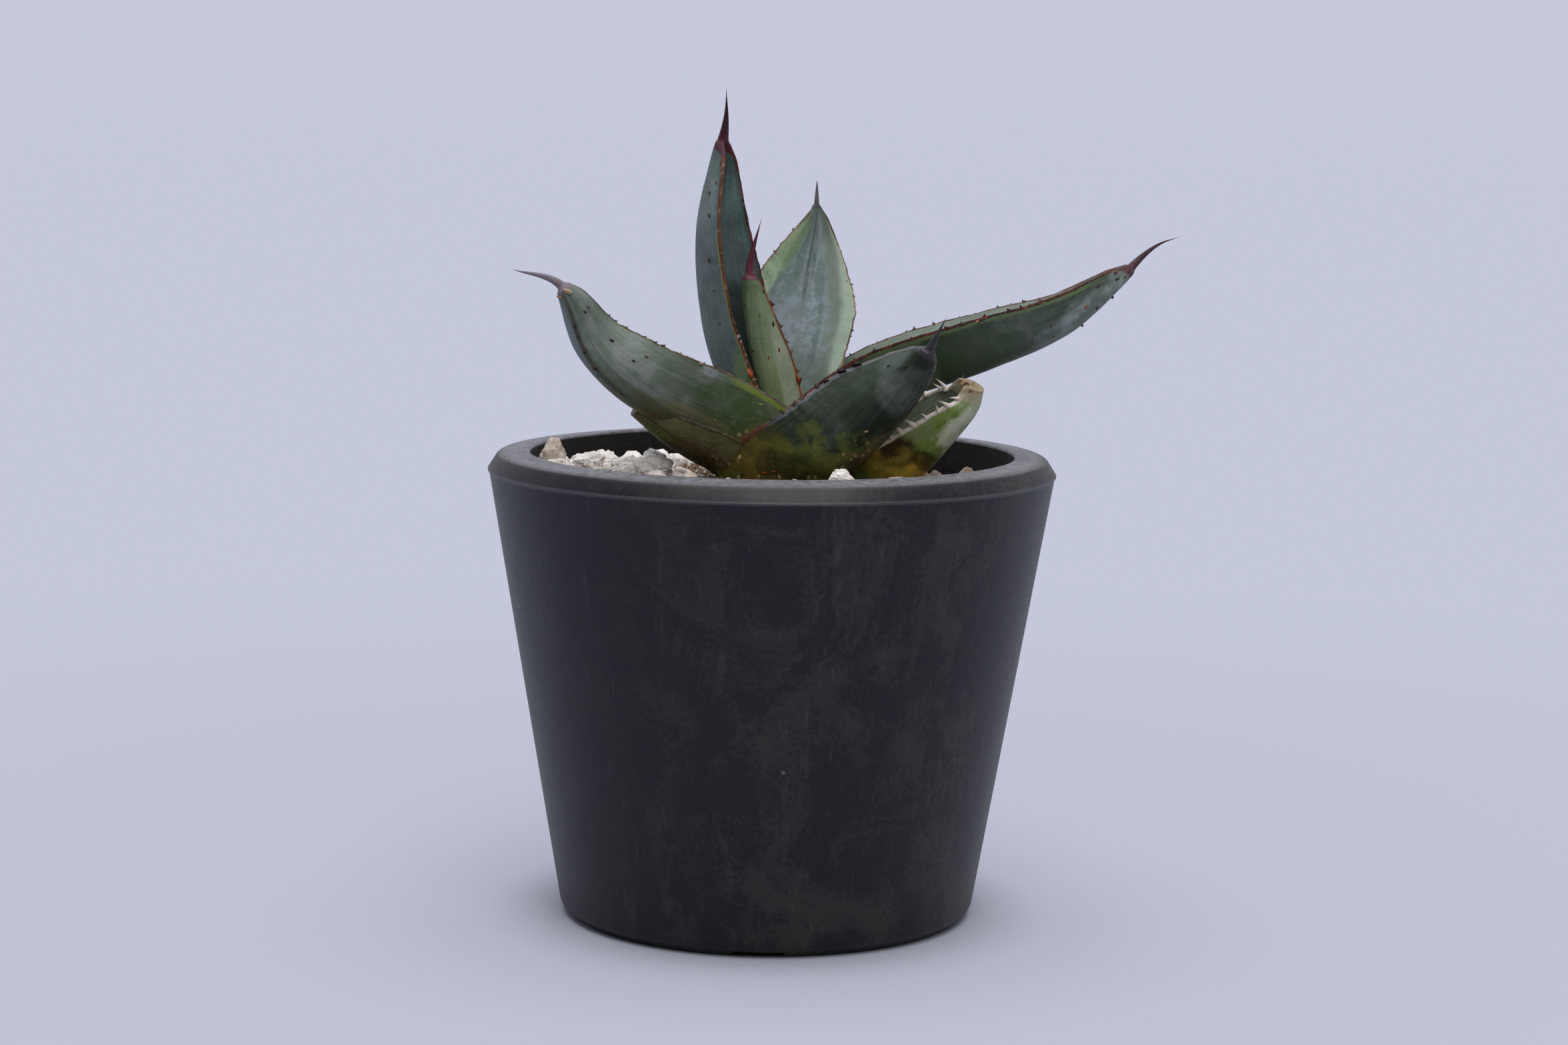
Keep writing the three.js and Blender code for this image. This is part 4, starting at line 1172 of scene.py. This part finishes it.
# The young leaf in the middle is narrow, light green and still tightly folded.
leaf(
    "leaf_young_centre",
    {
        "midrib": [(1.5, 1, 98), (-0.4, 0.2, 110.7), (-3.4, -0.6, 123), (-4.8, -1.5, 137), (-2.9, -1, 148)],
        "face": [(0.75, 0.5, 0.2), (0.76, 0.56, 0.2)],
        "half": 6.2, "base": 0.9, "widest": 0.38, "taper": 2, "fold": (62, 65), "thick": (3.2, 2.2),
        "end": 1.3, "spine": (13, 1.1, 1.3, 0.7), "teeth": (3.4, 0.95), "toothed": (0.24, 0.92),
        "seed": 1, "relief": 0.25, "tooth_form": (0.85, 0.42, -0.22),
    },
    [
        (0.79, -0.275, 0.5, 1, 0.3), (0.73, -0.75, 0.9, 1, 0), (0.575, -0.675, 0.8, 1, 0.3),
        (0.55, -0.275, 0.6, 1, 0.4), (0.605, -0.03, 0.4, 1, 0.1), (0.92, -0.85, 0.7, 1, 0),
        (0.39, -0.95, 1.7, 1, 0.5), (0.47, -0.97, 0.8, 1, 0.45), (0.2, -0.5, 0.6, 1, 0.2),
    ],
    {
        "back": ((0.050, 0.088, 0.034), (0.130, 0.188, 0.085)), "streaks": 0.6,
        "streak": (0.25, 0.31, 0.18),
        "bloom": 0.18, "wax": (0.28, 0.31, 0.28),
        "patches": [
            # Painted shade: the dark green over the left part of the back stands for the shade of the tall
            # leaf beside it.
            (0.35, 0.45, 0.5, 0.25, 1, (0.05, 0.09, 0.035), 0.6, 0.6),
            (0.30, -0.25, 0.30, 0.5, 1, (0.24, 0.29, 0.13), 0.5, 1.0),
            # Painted highlight: the pale grey patch near the right margin.
            (0.35, -0.75, 0.45, 0.32, 1, (0.36, 0.38, 0.31), 0.6, 0.5),
        ],
        "edges": {
            -1: {"line": (0.42, (0.22, 0.05, 0.015), (0.10, 0.03, 0.02), 0.05, 1.0),
                 "strip": (0.9, (0.24, 0.25, 0.10), 0.0, 0.95, -1)},
            1: {"line": (0.35, HORN_RED, HORN_DARK, 0.05, 1.0)},
        },
        "teeth": (0.075, 0.014, 0.010), "spine": (0.075, 0.010, 0.018), "spine_root": (0.12, 0.030, 0.045),
        "spine_worn": 0.1,
    },
)

# The tallest leaf stands almost upright at the left and shows its back and one edge of its channel.
leaf(
    "leaf_tall_left",
    {
        "midrib": [
            (-2, 3, 96), (-7, 4.2, 110.4), (-12.2, 7, 125.2), (-14.1, 6.5, 144.5), (-10.7, 6.1, 165),
            (-10.7, 2.2, 175.3),
        ],
        "face": [(0.8, -0.5, 0.3), (0.71, -0.63, 0)],
        "half": 11.6, "base": 0.8, "widest": 0.4, "taper": 2.2, "fold": (55, 58), "thick": (4, 2.2),
        "end": 1.7, "spine": (13.3, 1.3, 1.6, 0.7), "teeth": (3, 0.8), "toothed": (0.1, 0.45), "seed": 2,
    },
    [
        (0.94, -0.9, 0.6, 1, 0.1), (0.88, -0.8, 0.6, 1, 0.1), (0.845, -0.6, 0.75, 1, 0.1),
        (0.78, -0.7, 0.8, 1, 0.05), (0.65, -0.675, 0.8, 1, 0.1), (0.555, -0.7, 0.45, 1, 0.05),
        (0.44, -0.7, 0.5, 1, 0.1), (0.863, 0.0, 1.1, 1, 0), (0.25, -0.98, 1.7, 1, 0.5),
        (0.22, -0.95, 1.2, 1, 0.55),
    ],
    {
        "back": ((0.070, 0.098, 0.098), (0.132, 0.160, 0.162)), "streaks": 0.45,
        "streak": (0.055, 0.085, 0.075),
        "channel": ((0.045, 0.070, 0.064), (0.095, 0.135, 0.125)), "bloom": 0.35, "wax": (0.21, 0.27, 0.28),
        "patches": [
            (0.18, -0.85, 0.14, 0.25, 1, (0.20, 0.30, 0.12), 0.6, 0.5),
            # Painted shade: this dark patch low in the channel stands for the shade between this leaf and
            # the young one beside it.
            (0.30, -0.1, 0.30, 1.1, -1, (0.016, 0.024, 0.023), 0.85, 0.4),
        ],
        "edges": {
            -1: {"line": (0.36, (0.16, 0.055, 0.018), (0.075, 0.028, 0.014), 0.05, 1.0),
                 "strip": (0.75, (0.19, 0.20, 0.075), 0.0, 0.72, 1), "worn": 0.35},
            1: {"line": (0.35, HORN_RED, HORN_DARK, 0.05, 1.0)},
        },
        "keel_line": 0.7, "keel_from": 0.88, "horny_from": 0.978,
        "teeth": (0.07, 0.016, 0.012), "teeth_pale": 0.6,
        "spine": (0.032, 0.007, 0.012), "spine_root": (0.060, 0.012, 0.020), "spine_worn": 0.04,
    },
)

# The broad leaf behind turns its bloomed channel to the front, pale green along its margins.
leaf(
    "leaf_back",
    {
        "midrib": [(3, 5, 98), (3.7, 11.5, 114.6), (6, 17, 131), (8.7, 21.6, 146.4), (8.8, 21.4, 155.1)],
        "face": [(-0.28, -0.97, 0.4), (0.3, -0.95, 0.12)],
        "half": 12.6, "base": 0.75, "widest": 0.57, "taper": 1.35, "fold": (27, 17), "thick": (4, 2),
        "end": 0.8, "spine": (5.5, 0.6, 0.7, 0.6), "teeth": (2, 0.5), "toothed": (0.24, 0.9), "seed": 3,
        "relief": 0.3,
    },
    [(0.72, 0.93, 0.4, -1, 1), (0.66, 0.9, 0.35, -1, 0.9)],
    {
        "back": ((0.08, 0.11, 0.085), (0.14, 0.17, 0.14)), "streaks": 0.35, "streak": (0.20, 0.27, 0.20),
        "channel": ((0.100, 0.135, 0.112), (0.165, 0.205, 0.175)), "bloom": 0.0,
        "wax": (0.255, 0.305, 0.345), "bands": 0.9,
        "blooms": [
            (0.52, -0.02, 0.36, 0.66, -1, 0.95), (0.3, 0.0, 0.3, 0.5, -1, 0.45),
            (0.82, 0.25, 0.14, 0.25, -1, 0.5),
        ],
        "patches": [
            (0.55, -0.95, 0.55, 0.34, -1, (0.430, 0.540, 0.360), 0.8, 1.2),
            (0.85, -0.65, 0.12, 0.30, -1, (0.220, 0.300, 0.150), 0.6, 1.6),
            (0.52, 1.02, 0.48, 0.30, -1, (0.350, 0.430, 0.345), 0.85, 0.4),
            # Painted shade: the two narrow dark stripes along the middle of the channel stand for the shade
            # in its crease.
            (0.90, 0.0, 0.17, 0.05, -1, (0.024, 0.042, 0.042), 0.85, 0.6),
            (0.72, 0.03, 0.10, 0.045, -1, (0.045, 0.066, 0.070), 0.7, 0.8),
            (0.84, 0.14, 0.12, 0.10, -1, (0.065, 0.095, 0.095), 0.75, 1.0),
            (0.80, -0.22, 0.10, 0.13, -1, (0.075, 0.115, 0.095), 0.7, 1.3),
            (0.72, 0.33, 0.12, 0.12, -1, (0.085, 0.12, 0.115), 0.6, 1.4),
            (0.50, 0.38, 0.16, 0.07, -1, (0.10, 0.135, 0.145), 0.6, 1.2),
            (0.20, 0.0, 0.22, 0.8, -1, (0.10, 0.135, 0.11), 0.6, 0.8),
        ],
        "edges": {
            -1: {"line": (0.28, (0.16, 0.10, 0.06), (0.08, 0.05, 0.035), 0.1, 1.0), "worn": 0.5},
            1: {"line": (0.28, (0.20, 0.12, 0.07), (0.08, 0.04, 0.03), 0.1, 1.0), "worn": 0.6},
        },
        "teeth": (0.09, 0.055, 0.04), "teeth_pale": 0.5,
        "spine": (0.17, 0.16, 0.18), "spine_root": (0.075, 0.06, 0.075), "spine_worn": 0.7,
    },
)

# The long leaf leans far to the right, its back to the front.
leaf(
    "leaf_long_right",
    {
        "midrib": [
            (2.2, 2.2, 99), (21.4, 5.3, 110.9), (44.3, 2.4, 119.2), (61.6, 0.2, 127.2),
            (77.8, 3, 141.7), (85.3, 0.4, 145.3),
        ],
        "face": [(-0.45, -0.02, 0.87), (-0.44, 0.06, 0.89)],
        "half": 12.3, "base": 0.85, "widest": 0.38, "taper": 2.36, "fold": (46, 50), "thick": (5, 2.2),
        "end": 1.7, "spine": (14, 1, 1.4, 0.7), "teeth": (4.2, 0.6), "toothed": (0.2, 0.85), "seed": 4,
    },
    [
        (0.62, 0.7, 0.45, 1, 0.3), (0.75, 0.2, 0.5, 1, 0.1), (0.756, 0.45, 0.6, 1, 0.1),
        (0.85, 0.4, 0.8, 1, 0.45), (0.906, 0.7, 0.8, 1, 0), (0.956, 0.475, 0.9, 1, 0),
        (0.87, 0.15, 0.6, 1, 0.1), (0.92, 0.03, 0.55, 1, 0), (0.82, 0.0, 0.5, 1, 0),
        (0.965, 0.8, 1.0, 1, 0.2), (0.975, 0.3, 0.6, 1, 0.1), (0.70, 0.3, 0.3, 1, 0),
        (0.605, 0.985, 1.25, 1, 0.1), (0.592, 0.975, 0.8, 1, 0.75), (0.615, 0.99, 0.7, 1, 0.4),
    ],
    {
        "back": ((0.026, 0.045, 0.023), (0.064, 0.085, 0.060)), "streaks": 0.25,
        "streak": (0.035, 0.055, 0.035),
        "channel": ((0.14, 0.18, 0.145), (0.24, 0.28, 0.245)), "bloom": 0.14,
        "wax": (0.27, 0.305, 0.30), "bands": 0.4,
        "bloomed": (0.3, 0.7, 1.2, 1.1),
        "blooms": [
            (0.88, 0.25, 0.12, 0.45, 1, 0.95), (0.78, 0.15, 0.10, 0.4, 1, 0.45),
            (0.66, 0.6, 0.07, 0.4, 1, 0.25), (0.97, 0.6, 0.04, 0.4, 1, 0.5),
        ],
        "patches": [
            (0.52, 0.4, 0.16, 0.7, 1, (0.030, 0.055, 0.020), 0.7, 0.7),
            (0.36, 0.3, 0.09, 0.9, 1, (0.17, 0.20, 0.15), 0.75, 0.7),
        ],
        "edges": {
            1: {"line": (0.38, HORN_RED, HORN_DARK, 0.05, 1.0),
                "strip": (1.0, (0.12, 0.17, 0.08), 0.3, 0.9, 1)},
            -1: {"line": (0.32, HORN_RED, HORN_DARK, 0.05, 1.0), "worn": 0.4},
        },
        "keel_line": 0.9, "keel_from": 0.93, "horny_from": 0.985,
        "teeth": (0.05, 0.012, 0.010),
        "spine": (0.040, 0.014, 0.018), "spine_root": (0.070, 0.018, 0.022), "spine_worn": 0.35,
    },
)

# The front left leaf is greyed with bloom and mossy towards its foot.
leaf(
    "leaf_front_left",
    {
        "midrib": [
            (3.3, -5.8, 96.7), (-14.6, -9.8, 105.7), (-28, -17, 112.8), (-37.2, -17.2, 121.3),
            (-43.3, -19.5, 134), (-53.6, -21.3, 137.3),
        ],
        "face": [(0.51, 0.45, 0.67), (0.12, 0.78, 0.34)],
        "half": 11.8, "base": 0.9, "widest": 0.2, "taper": 2.8, "fold": (41, 42), "thick": (5, 2.5),
        "end": 1.6, "spine": (11.5, 1.0, 1.0, 0.45), "teeth": (3.5, 0.5), "toothed": (0.24, 0.9), "seed": 5,
        "ridge": (0.45, 0.5),
    },
    [
        (0.906, -0.25, 0.7, 1, 0), (0.913, -0.45, 0.6, 1, 0.1), (0.763, -0.5, 0.9, 1, 0),
        (0.65, -0.475, 0.7, 1, 0), (0.625, -0.675, 0.7, 1, 0.2), (0.875, 0.0, 0.5, 1, 0),
        (0.84, 0.0, 0.5, 1, 0), (0.79, 0.0, 0.6, 1, 0), (0.725, 0.0, 0.8, 1, 0),
        (0.70, 0.05, 0.6, 1, 0), (0.188, -0.825, 0.7, 1, 1), (0.25, 0.0, 0.8, 1, 1),
        (0.238, -0.03, 0.7, 1, 1), (0.34, 0.02, 0.6, 1, 0.8), (0.988, -0.125, 1.7, 1, 0.95),
        (0.444, -0.975, 0.9, 1, 0.9), (0.985, 0.1, 1.0, 1, 0.7), (0.2, -0.55, 0.35, 1, 0.9),
        (0.31, -0.3, 0.4, 1, 0.9), (0.62, 0.0, 0.5, 1, 0),
    ],
    {
        "back": ((0.060, 0.090, 0.050), (0.160, 0.185, 0.155)), "streaks": 0.2,
        "streak": (0.045, 0.07, 0.04),
        "channel": ((0.05, 0.07, 0.06), (0.12, 0.15, 0.14)), "bloom": 0.2, "wax": (0.255, 0.28, 0.305),
        "blooms": [
            (0.70, -0.40, 0.16, 0.65, 1, 0.45), (0.58, -0.30, 0.10, 0.5, 1, 0.5),
            (0.82, -0.45, 0.10, 0.5, 1, 0.45), (0.93, -0.4, 0.06, 0.5, 1, 0.3),
            (0.80, 0.25, 0.2, 0.2, 1, 0.45), (0.40, -0.93, 0.035, 0.1, 1, 0.8),
            (0.42, -0.5, 0.08, 0.3, 1, 0.3), (0.33, -0.6, 0.08, 0.25, 1, 0.3),
        ],
        "patches": [
            (0.50, -0.75, 0.07, 0.5, 1, (0.060, 0.085, 0.050), 0.6, 0.9),
            (0.24, -0.55, 0.20, 0.45, 1, (0.024, 0.052, 0.007), 0.9, 0.5),
            (0.12, -0.25, 0.10, 0.6, 1, (0.120, 0.090, 0.020), 0.8, 1.5),
            (0.34, -0.05, 0.24, 0.3, 1, (0.155, 0.140, 0.065), 0.75, 0.9),
            (0.55, -0.05, 0.16, 0.12, 1, (0.05, 0.07, 0.035), 0.6, 0.9),
            (0.42, 0.03, 0.14, 0.07, 1, (0.10, 0.07, 0.035), 0.7, 0.6),
            (0.86, 0.45, 0.20, 0.38, 1, (0.19, 0.23, 0.28), 0.7, 0.3),
        ],
        "dirt": 0.6, "dirt_top": 104.0, "scars": 0.8,
        "edges": {
            -1: {"line": (0.34, (0.075, 0.060, 0.030), (0.040, 0.022, 0.014), 0.05, 1.0),
                 "strip": (1.2, (0.125, 0.170, 0.028), -0.1, 0.31, 1)},
            1: {"line": (0.32, (0.07, 0.04, 0.025), HORN_DARK, 0.05, 1.0)},
        },
        "keel_line": 0.75, "keel_from": 0.66,
        "teeth": (0.040, 0.018, 0.016), "teeth_pale": 0.15,
        "spine": (0.20, 0.17, 0.21), "spine_root": (0.17, 0.13, 0.155), "spine_worn": 0.35,
    },
)

# The broad front right leaf is dark blue-green, stained with earth where it leaves the stones.
leaf(
    "leaf_front_right",
    {
        "midrib": [
            (-5.5, -4.7, 91), (10.3, -16.9, 98.4), (21, -20.6, 108), (29.3, -22.9, 118.5),
            (34.8, -28.1, 129.4),
        ],
        "face": [(-0.47, 0.78, 0.65), (0.15, 0.79, 0.39)],
        "half": 13.1, "base": 0.85, "widest": 0.4, "taper": 3, "fold": (20, 53), "thick": (5, 2.5),
        "end": 1.6, "spine": (8.5, 1.1, 1.3, 0.8), "teeth": (3.2, 0.9), "toothed": (0.24, 0.66), "seed": 6,
    },
    [
        (0.85, 0.575, 0.7, 1, 0), (0.90, 0.2, 0.7, 1, 0), (0.963, -0.15, 0.6, 1, 0.1),
        (0.87, -0.175, 0.5, 1, 0), (0.925, -0.3, 0.5, 1, 0), (0.613, 0.05, 0.8, 1, 0.9),
        (0.688, 1.0, 1.7, 1, 0), (0.756, 1.0, 1.8, 1, 0), (0.62, 1.0, 1.1, 1, 0),
        (0.2, 0.4, 1.0, 1, 0.5), (0.24, 0.35, 0.8, 1, 0.5), (0.17, 0.3, 0.7, 1, 0.45),
        (0.45, -0.4, 0.45, 1, 0.95), (0.38, -0.1, 0.4, 1, 0.9), (0.5, -0.55, 0.4, 1, 0.8),
        (0.3, 0.1, 0.5, 1, 0.8),
    ],
    {
        "back": ((0.006, 0.014, 0.006), (0.021, 0.036, 0.021)), "streaks": 0.5,
        "streak": (0.006, 0.011, 0.006),
        "channel": ((0.10, 0.14, 0.115), (0.19, 0.23, 0.20)), "bloom": 0.05, "wax": (0.17, 0.20, 0.195),
        "blooms": [
            (0.80, 0.05, 0.08, 0.45, 1, 0.42), (0.89, -0.1, 0.05, 0.3, 1, 0.3),
            (0.50, 0.30, 0.10, 0.2, 1, 0.15), (0.88, 0.6, 0.08, 0.3, 1, 0.35),
        ],
        "patches": [
            (0.27, 0.1, 0.24, 0.75, 1, (0.140, 0.160, 0.022), 0.9, 1.9),
            (0.18, -0.1, 0.14, 0.9, 1, (0.190, 0.130, 0.030), 0.8, 1.6),
            (0.42, -0.5, 0.28, 0.45, 1, (0.150, 0.125, 0.055), 0.75, 1.4),
            (0.22, 0.7, 0.14, 0.3, 1, (0.085, 0.070, 0.010), 0.6, 0.8),
            (0.33, 0.20, 0.09, 0.30, 1, (0.012, 0.014, 0.003), 0.85, 1.6),
            (0.24, 0.50, 0.06, 0.20, 1, (0.014, 0.016, 0.003), 0.8, 1.6),
            (0.40, -0.35, 0.08, 0.22, 1, (0.016, 0.013, 0.004), 0.8, 1.6),
            (0.47, -0.15, 0.05, 0.15, 1, (0.016, 0.012, 0.004), 0.7, 1.0),
            (0.15, 0.99, 0.22, 0.05, 1, (0.10, 0.035, 0.022), 0.9, 0.2),
            (0.82, -0.98, 0.26, 0.26, 1, (0.30, 0.31, 0.27), 0.9, 0.2),
        ],
        "dirt": 0.8, "dirt_top": 102.5, "scars": 1.0,
        "edges": {
            1: {"line": (0.34, (0.16, 0.12, 0.13), (0.06, 0.045, 0.05), 0.3, 1.0), "worn": 0.3,
                "strip": (0.9, (0.10, 0.11, 0.12), 0.3, 1.0, 1)},
            -1: {"line": (0.7, (0.34, 0.36, 0.33), (0.16, 0.17, 0.15), 0.62, 1.0), "worn": 0.2},
        },
        "keel_line": 0.0, "horny_from": 0.98,
        "teeth": (0.030, 0.014, 0.014), "teeth_pale": 0.1,
        "spine": (0.030, 0.030, 0.040), "spine_root": (0.030, 0.026, 0.036), "spine_worn": 0.15,
    },
)

# The low right-hand leaf lost its tip to a cut, which has dried to a brown fibrous end.
leaf(
    "leaf_trimmed_right",
    {
        "midrib": [(6.2, -3.1, 93), (22.9, -7, 93), (38.1, -8.5, 107.6), (41, -10.3, 114.2)],
        "face": [(-0.36, 0.38, 0.85), (-0.54, -0.42, 0.53)],
        "half": 10.7, "base": 0.85, "widest": 0.41, "taper": 2.6, "fold": (45, 56), "thick": (5, 3),
        "end": 2.8, "spine": (0, 0, 1, 0), "teeth": (3.0, 2.8), "toothed": (0.34, 1.0), "seed": 7,
        "tooth_form": (0.26, -0.9, 0.45), "fray": 30,
    },
    [(0.756, 0.675, 0.35, 1, 0.1), (0.7, 0.3, 0.3, 1, 0.9), (0.62, 0.5, 0.3, 1, 0.9)],
    {
        "back": ((0.120, 0.195, 0.030), (0.250, 0.335, 0.085)), "streaks": 0.35,
        "streak": (0.09, 0.15, 0.025),
        "channel": ((0.08, 0.095, 0.070), (0.16, 0.18, 0.150)), "bloom": 0.12, "wax": (0.30, 0.33, 0.22),
        "patches": [
            (0.93, 0.45, 0.06, 0.5, 1, (0.40, 0.45, 0.28), 0.4, 1.5),
            # Partly painted highlight: the whitish speckled patch holds real pale specks with the glint of
            # light on them painted in.
            (0.80, 0.27, 0.12, 0.32, 1, (0.62, 0.65, 0.52), 0.9, 1.7),
            (0.62, 0.95, 0.16, 0.3, 1, (0.22, 0.24, 0.14), 0.6, 0.9),
            (0.47, 0.45, 0.14, 0.9, 1, (0.48, 0.31, 0.035), 0.9, 0.7),
            (0.55, 0.75, 0.09, 0.35, 1, (0.016, 0.010, 0.003), 0.95, 0.9),
            (0.60, 0.30, 0.045, 0.30, 1, (0.020, 0.013, 0.003), 0.85, 1.0),
            (0.36, 0.6, 0.10, 0.5, 1, (0.045, 0.050, 0.006), 0.7, 1.0),
            (0.99, 0.0, 0.05, 1.3, 0, (0.46, 0.38, 0.28), 0.95, 0.8),
            (1.2, 0.0, 0.21, 2.0, 0, (0.40, 0.29, 0.17), 1.0, 0.3),
        ],
        "dirt": 0.4, "dirt_top": 97.0, "scars": 0.5,
        "edges": {
            1: {"line": (0.60, (0.72, 0.67, 0.60), (0.50, 0.42, 0.34), 0.25, 1.0), "worn": 0.5},
            -1: {"line": (0.6, (0.62, 0.56, 0.50), (0.30, 0.22, 0.15), 0.25, 1.0), "worn": 0.5},
        },
        "teeth": (0.62, 0.56, 0.50), "teeth_pale": 0.3,
        "spine": (0.36, 0.27, 0.16), "spine_worn": 0.8,
    },
)

# The stub of an old leaf has dried under the front left one and grown mossy.
leaf(
    "leaf_old_stub",
    {
        "midrib": [(-3, -4, 94), (-11, -8, 98.5), (-20, -11, 103), (-28, -13, 109)],
        "face": [(0.5, 0.3, 0.8), (0.6, 0.4, 0.7)],
        "half": 8.5, "base": 0.95, "widest": 0.3, "taper": 2, "fold": (22, 22), "thick": (5, 2.4),
        "end": 2.6, "spine": (0, 0, 1, 0), "teeth": (0, 0), "toothed": (0, 0), "seed": 8, "relief": 1.3,
        "fuzz": 5.0e5,
    },
    [],
    {
        "back": ((0.050, 0.044, 0.016), (0.120, 0.105, 0.050)), "streaks": 0.6,
        "streak": (0.16, 0.14, 0.085),
        "channel": ((0.050, 0.065, 0.022), (0.120, 0.140, 0.060)), "bloom": 0.0,
        "patches": [
            (0.60, -0.85, 0.60, 0.50, 0, (0.125, 0.120, 0.060), 0.9, 1.3),
            (0.80, 0.2, 0.20, 0.7, 0, (0.075, 0.105, 0.010), 0.85, 1.9),
            (0.50, 0.2, 0.22, 0.8, 0, (0.026, 0.018, 0.006), 0.85, 1.6),
            (0.62, -0.42, 0.50, 0.045, 0, (0.075, 0.045, 0.020), 0.8, 0.3),
        ],
        "dirt": 0.4, "dirt_top": 99.0, "scars": 0.8,
        "edges": {
            1: {"line": (0.3, (0.045, 0.040, 0.018), (0.022, 0.018, 0.008), 0.0, 1.0)},
            -1: {"line": (0.3, (0.045, 0.040, 0.018), (0.022, 0.018, 0.008), 0.0, 1.0)},
        },
        "fibre": (0.20, 0.18, 0.10), "spine": (0.10, 0.085, 0.04),
    },
)

# ---------------------------------------------------------------- studio
# A plain pale floor that runs into a pale wall all round, soft light from the sky of the room,
# dimmer from behind the camera, and the camera.

FLOOR_RADIUS = 1.5
FLOOR_SIDES = 96
FLOOR_RINGS = (0.0005, 0.25, 0.75, FLOOR_RADIUS)
PAPER = (0.37, 0.383, 0.45)
PLANT = (0.0, 0.0, 0.1)
AIR_TINT = (0.93, 0.965, 1.05)
GLOW_LOW = (0.555, 0.582, 0.705)
GLOW_HIGH = (0.590, 0.605, 0.700)
WALL_PATH = [(FLOOR_RADIUS, 0.0), (2.1, 0.05), (2.5, 0.3), (2.6, 0.8), (2.6, 2.2)]


def studio_ring(name, path):
    """A surface turned about the Z axis, open above, its faces towards the part."""
    vertices, faces = [], []
    for radius, height in path:
        for side in range(FLOOR_SIDES):
            angle = math.tau * side / FLOOR_SIDES
            vertices.append((radius * math.cos(angle), radius * math.sin(angle), height))
    for ring in range(len(path) - 1):
        low = ring * FLOOR_SIDES
        for side in range(FLOOR_SIDES):
            following = (side + 1) % FLOOR_SIDES
            high = low + FLOOR_SIDES
            faces.append((low + following, low + side, high + side, high + following))
    mesh = bpy.data.meshes.new(name)
    mesh.from_pydata(vertices, [], faces)
    mesh.shade_smooth()
    ring_object = bpy.data.objects.new(name, mesh)
    bpy.context.scene.collection.objects.link(ring_object)
    return ring_object


def paper_finish():
    """Matt paper, which gives way to an even glow away from the pot."""
    material, net, shader = new_material("paper", 0.85, IOR=1.3)
    shader.inputs["Base Color"].default_value = (*PAPER, 1.0)
    axes = net.axes(net.add("ShaderNodeTexCoord")["Object"])
    radius = net.sum("SQRT", axes["X"] * axes["X"] + axes["Y"] * axes["Y"])
    glow = net.blend(net.ramped(axes["Z"], 0.0, 1.2), GLOW_LOW, GLOW_HIGH)
    glow = net.add("ShaderNodeEmission", None, {"Color": glow})
    matt = Wire(net, shader.outputs["BSDF"])
    away = net.ramped(radius, 0.0, 0.50, 0.42, 1.0) * net.ramped(radius, 0.040, 0.064)
    both = net.add("ShaderNodeMixShader", None, {0: away, 1: matt, 2: glow})
    output = next(node for node in net.tree.nodes if node.type == "OUTPUT_MATERIAL")
    net.tree.links.new(both.socket, output.inputs["Surface"])
    return material


paper = paper_finish()
floor = studio_ring("paper_floor", [(radius, 0.0) for radius in FLOOR_RINGS])
wall = studio_ring("paper_wall", WALL_PATH)
for surface in (floor, wall):
    surface.data.materials.append(paper)
wall.visible_diffuse = wall.visible_glossy = wall.visible_shadow = False

world = bpy.data.worlds.new("studio air")
world.use_nodes = True
air = Net(world.node_tree)
toward = air.axes(air.add("ShaderNodeTexCoord")["Generated"])
behind_camera = air.ramped(toward["Y"] + toward["Z"] * -0.35, 0.15, -0.55)
light = 0.60 + 0.22 * air.ramped(toward["Z"], 0.2, 0.95) + 0.06 * air.ramped(toward["X"], -0.2, 0.9)
light = light * (1.0 - 0.84 * behind_camera)
background = world.node_tree.nodes["Background"]
tinted = light * AIR_TINT
world.node_tree.links.new(tinted.socket, background.inputs["Color"])
bpy.context.scene.world = world


def soft_light(name, place, aim, size, watts, colour):
    """A round soft box that hangs at a place and looks at its aim."""
    light = bpy.data.lights.new(name, "AREA")
    light.shape = "DISK"
    light.size = size
    light.energy = watts
    light.color = colour
    lamp = bpy.data.objects.new(name, light)
    lamp.location = place
    lamp.rotation_euler = (Vector(aim) - Vector(place)).to_track_quat("-Z", "Y").to_euler()
    bpy.context.scene.collection.objects.link(lamp)


soft_light("overhead", (0.0, -0.10, 1.9), PLANT, 2.0, 32, (1.0, 0.985, 0.975))
soft_light("front", (0.25, -1.35, 1.5), PLANT, 1.4, 16, (1.0, 0.99, 0.975))

view = bpy.context.scene.view_settings
view.view_transform = "Standard"
view.look = "None"
view.exposure = 0.0
view.gamma = 1.0

CAMERA_PLACE = (0.0, -0.68909, 0.17311)
CAMERA_RIGHT = Vector((0.99988251, -0.00191352, 0.01520888))
CAMERA_UP = Vector((-0.01483444, 0.12914882, 0.99151426))
FOCAL_LENGTH = 75.306
lens = bpy.data.cameras.new("camera")
lens.sensor_fit = "HORIZONTAL"
lens.sensor_width = 36.0
lens.lens = FOCAL_LENGTH
lens.clip_start = 0.01
camera = bpy.data.objects.new("camera", lens)
turn = Matrix((CAMERA_RIGHT, CAMERA_UP, CAMERA_RIGHT.cross(CAMERA_UP))).transposed()
camera.matrix_world = Matrix.Translation(CAMERA_PLACE) @ turn.to_4x4()
bpy.context.scene.collection.objects.link(camera)
bpy.context.scene.camera = camera
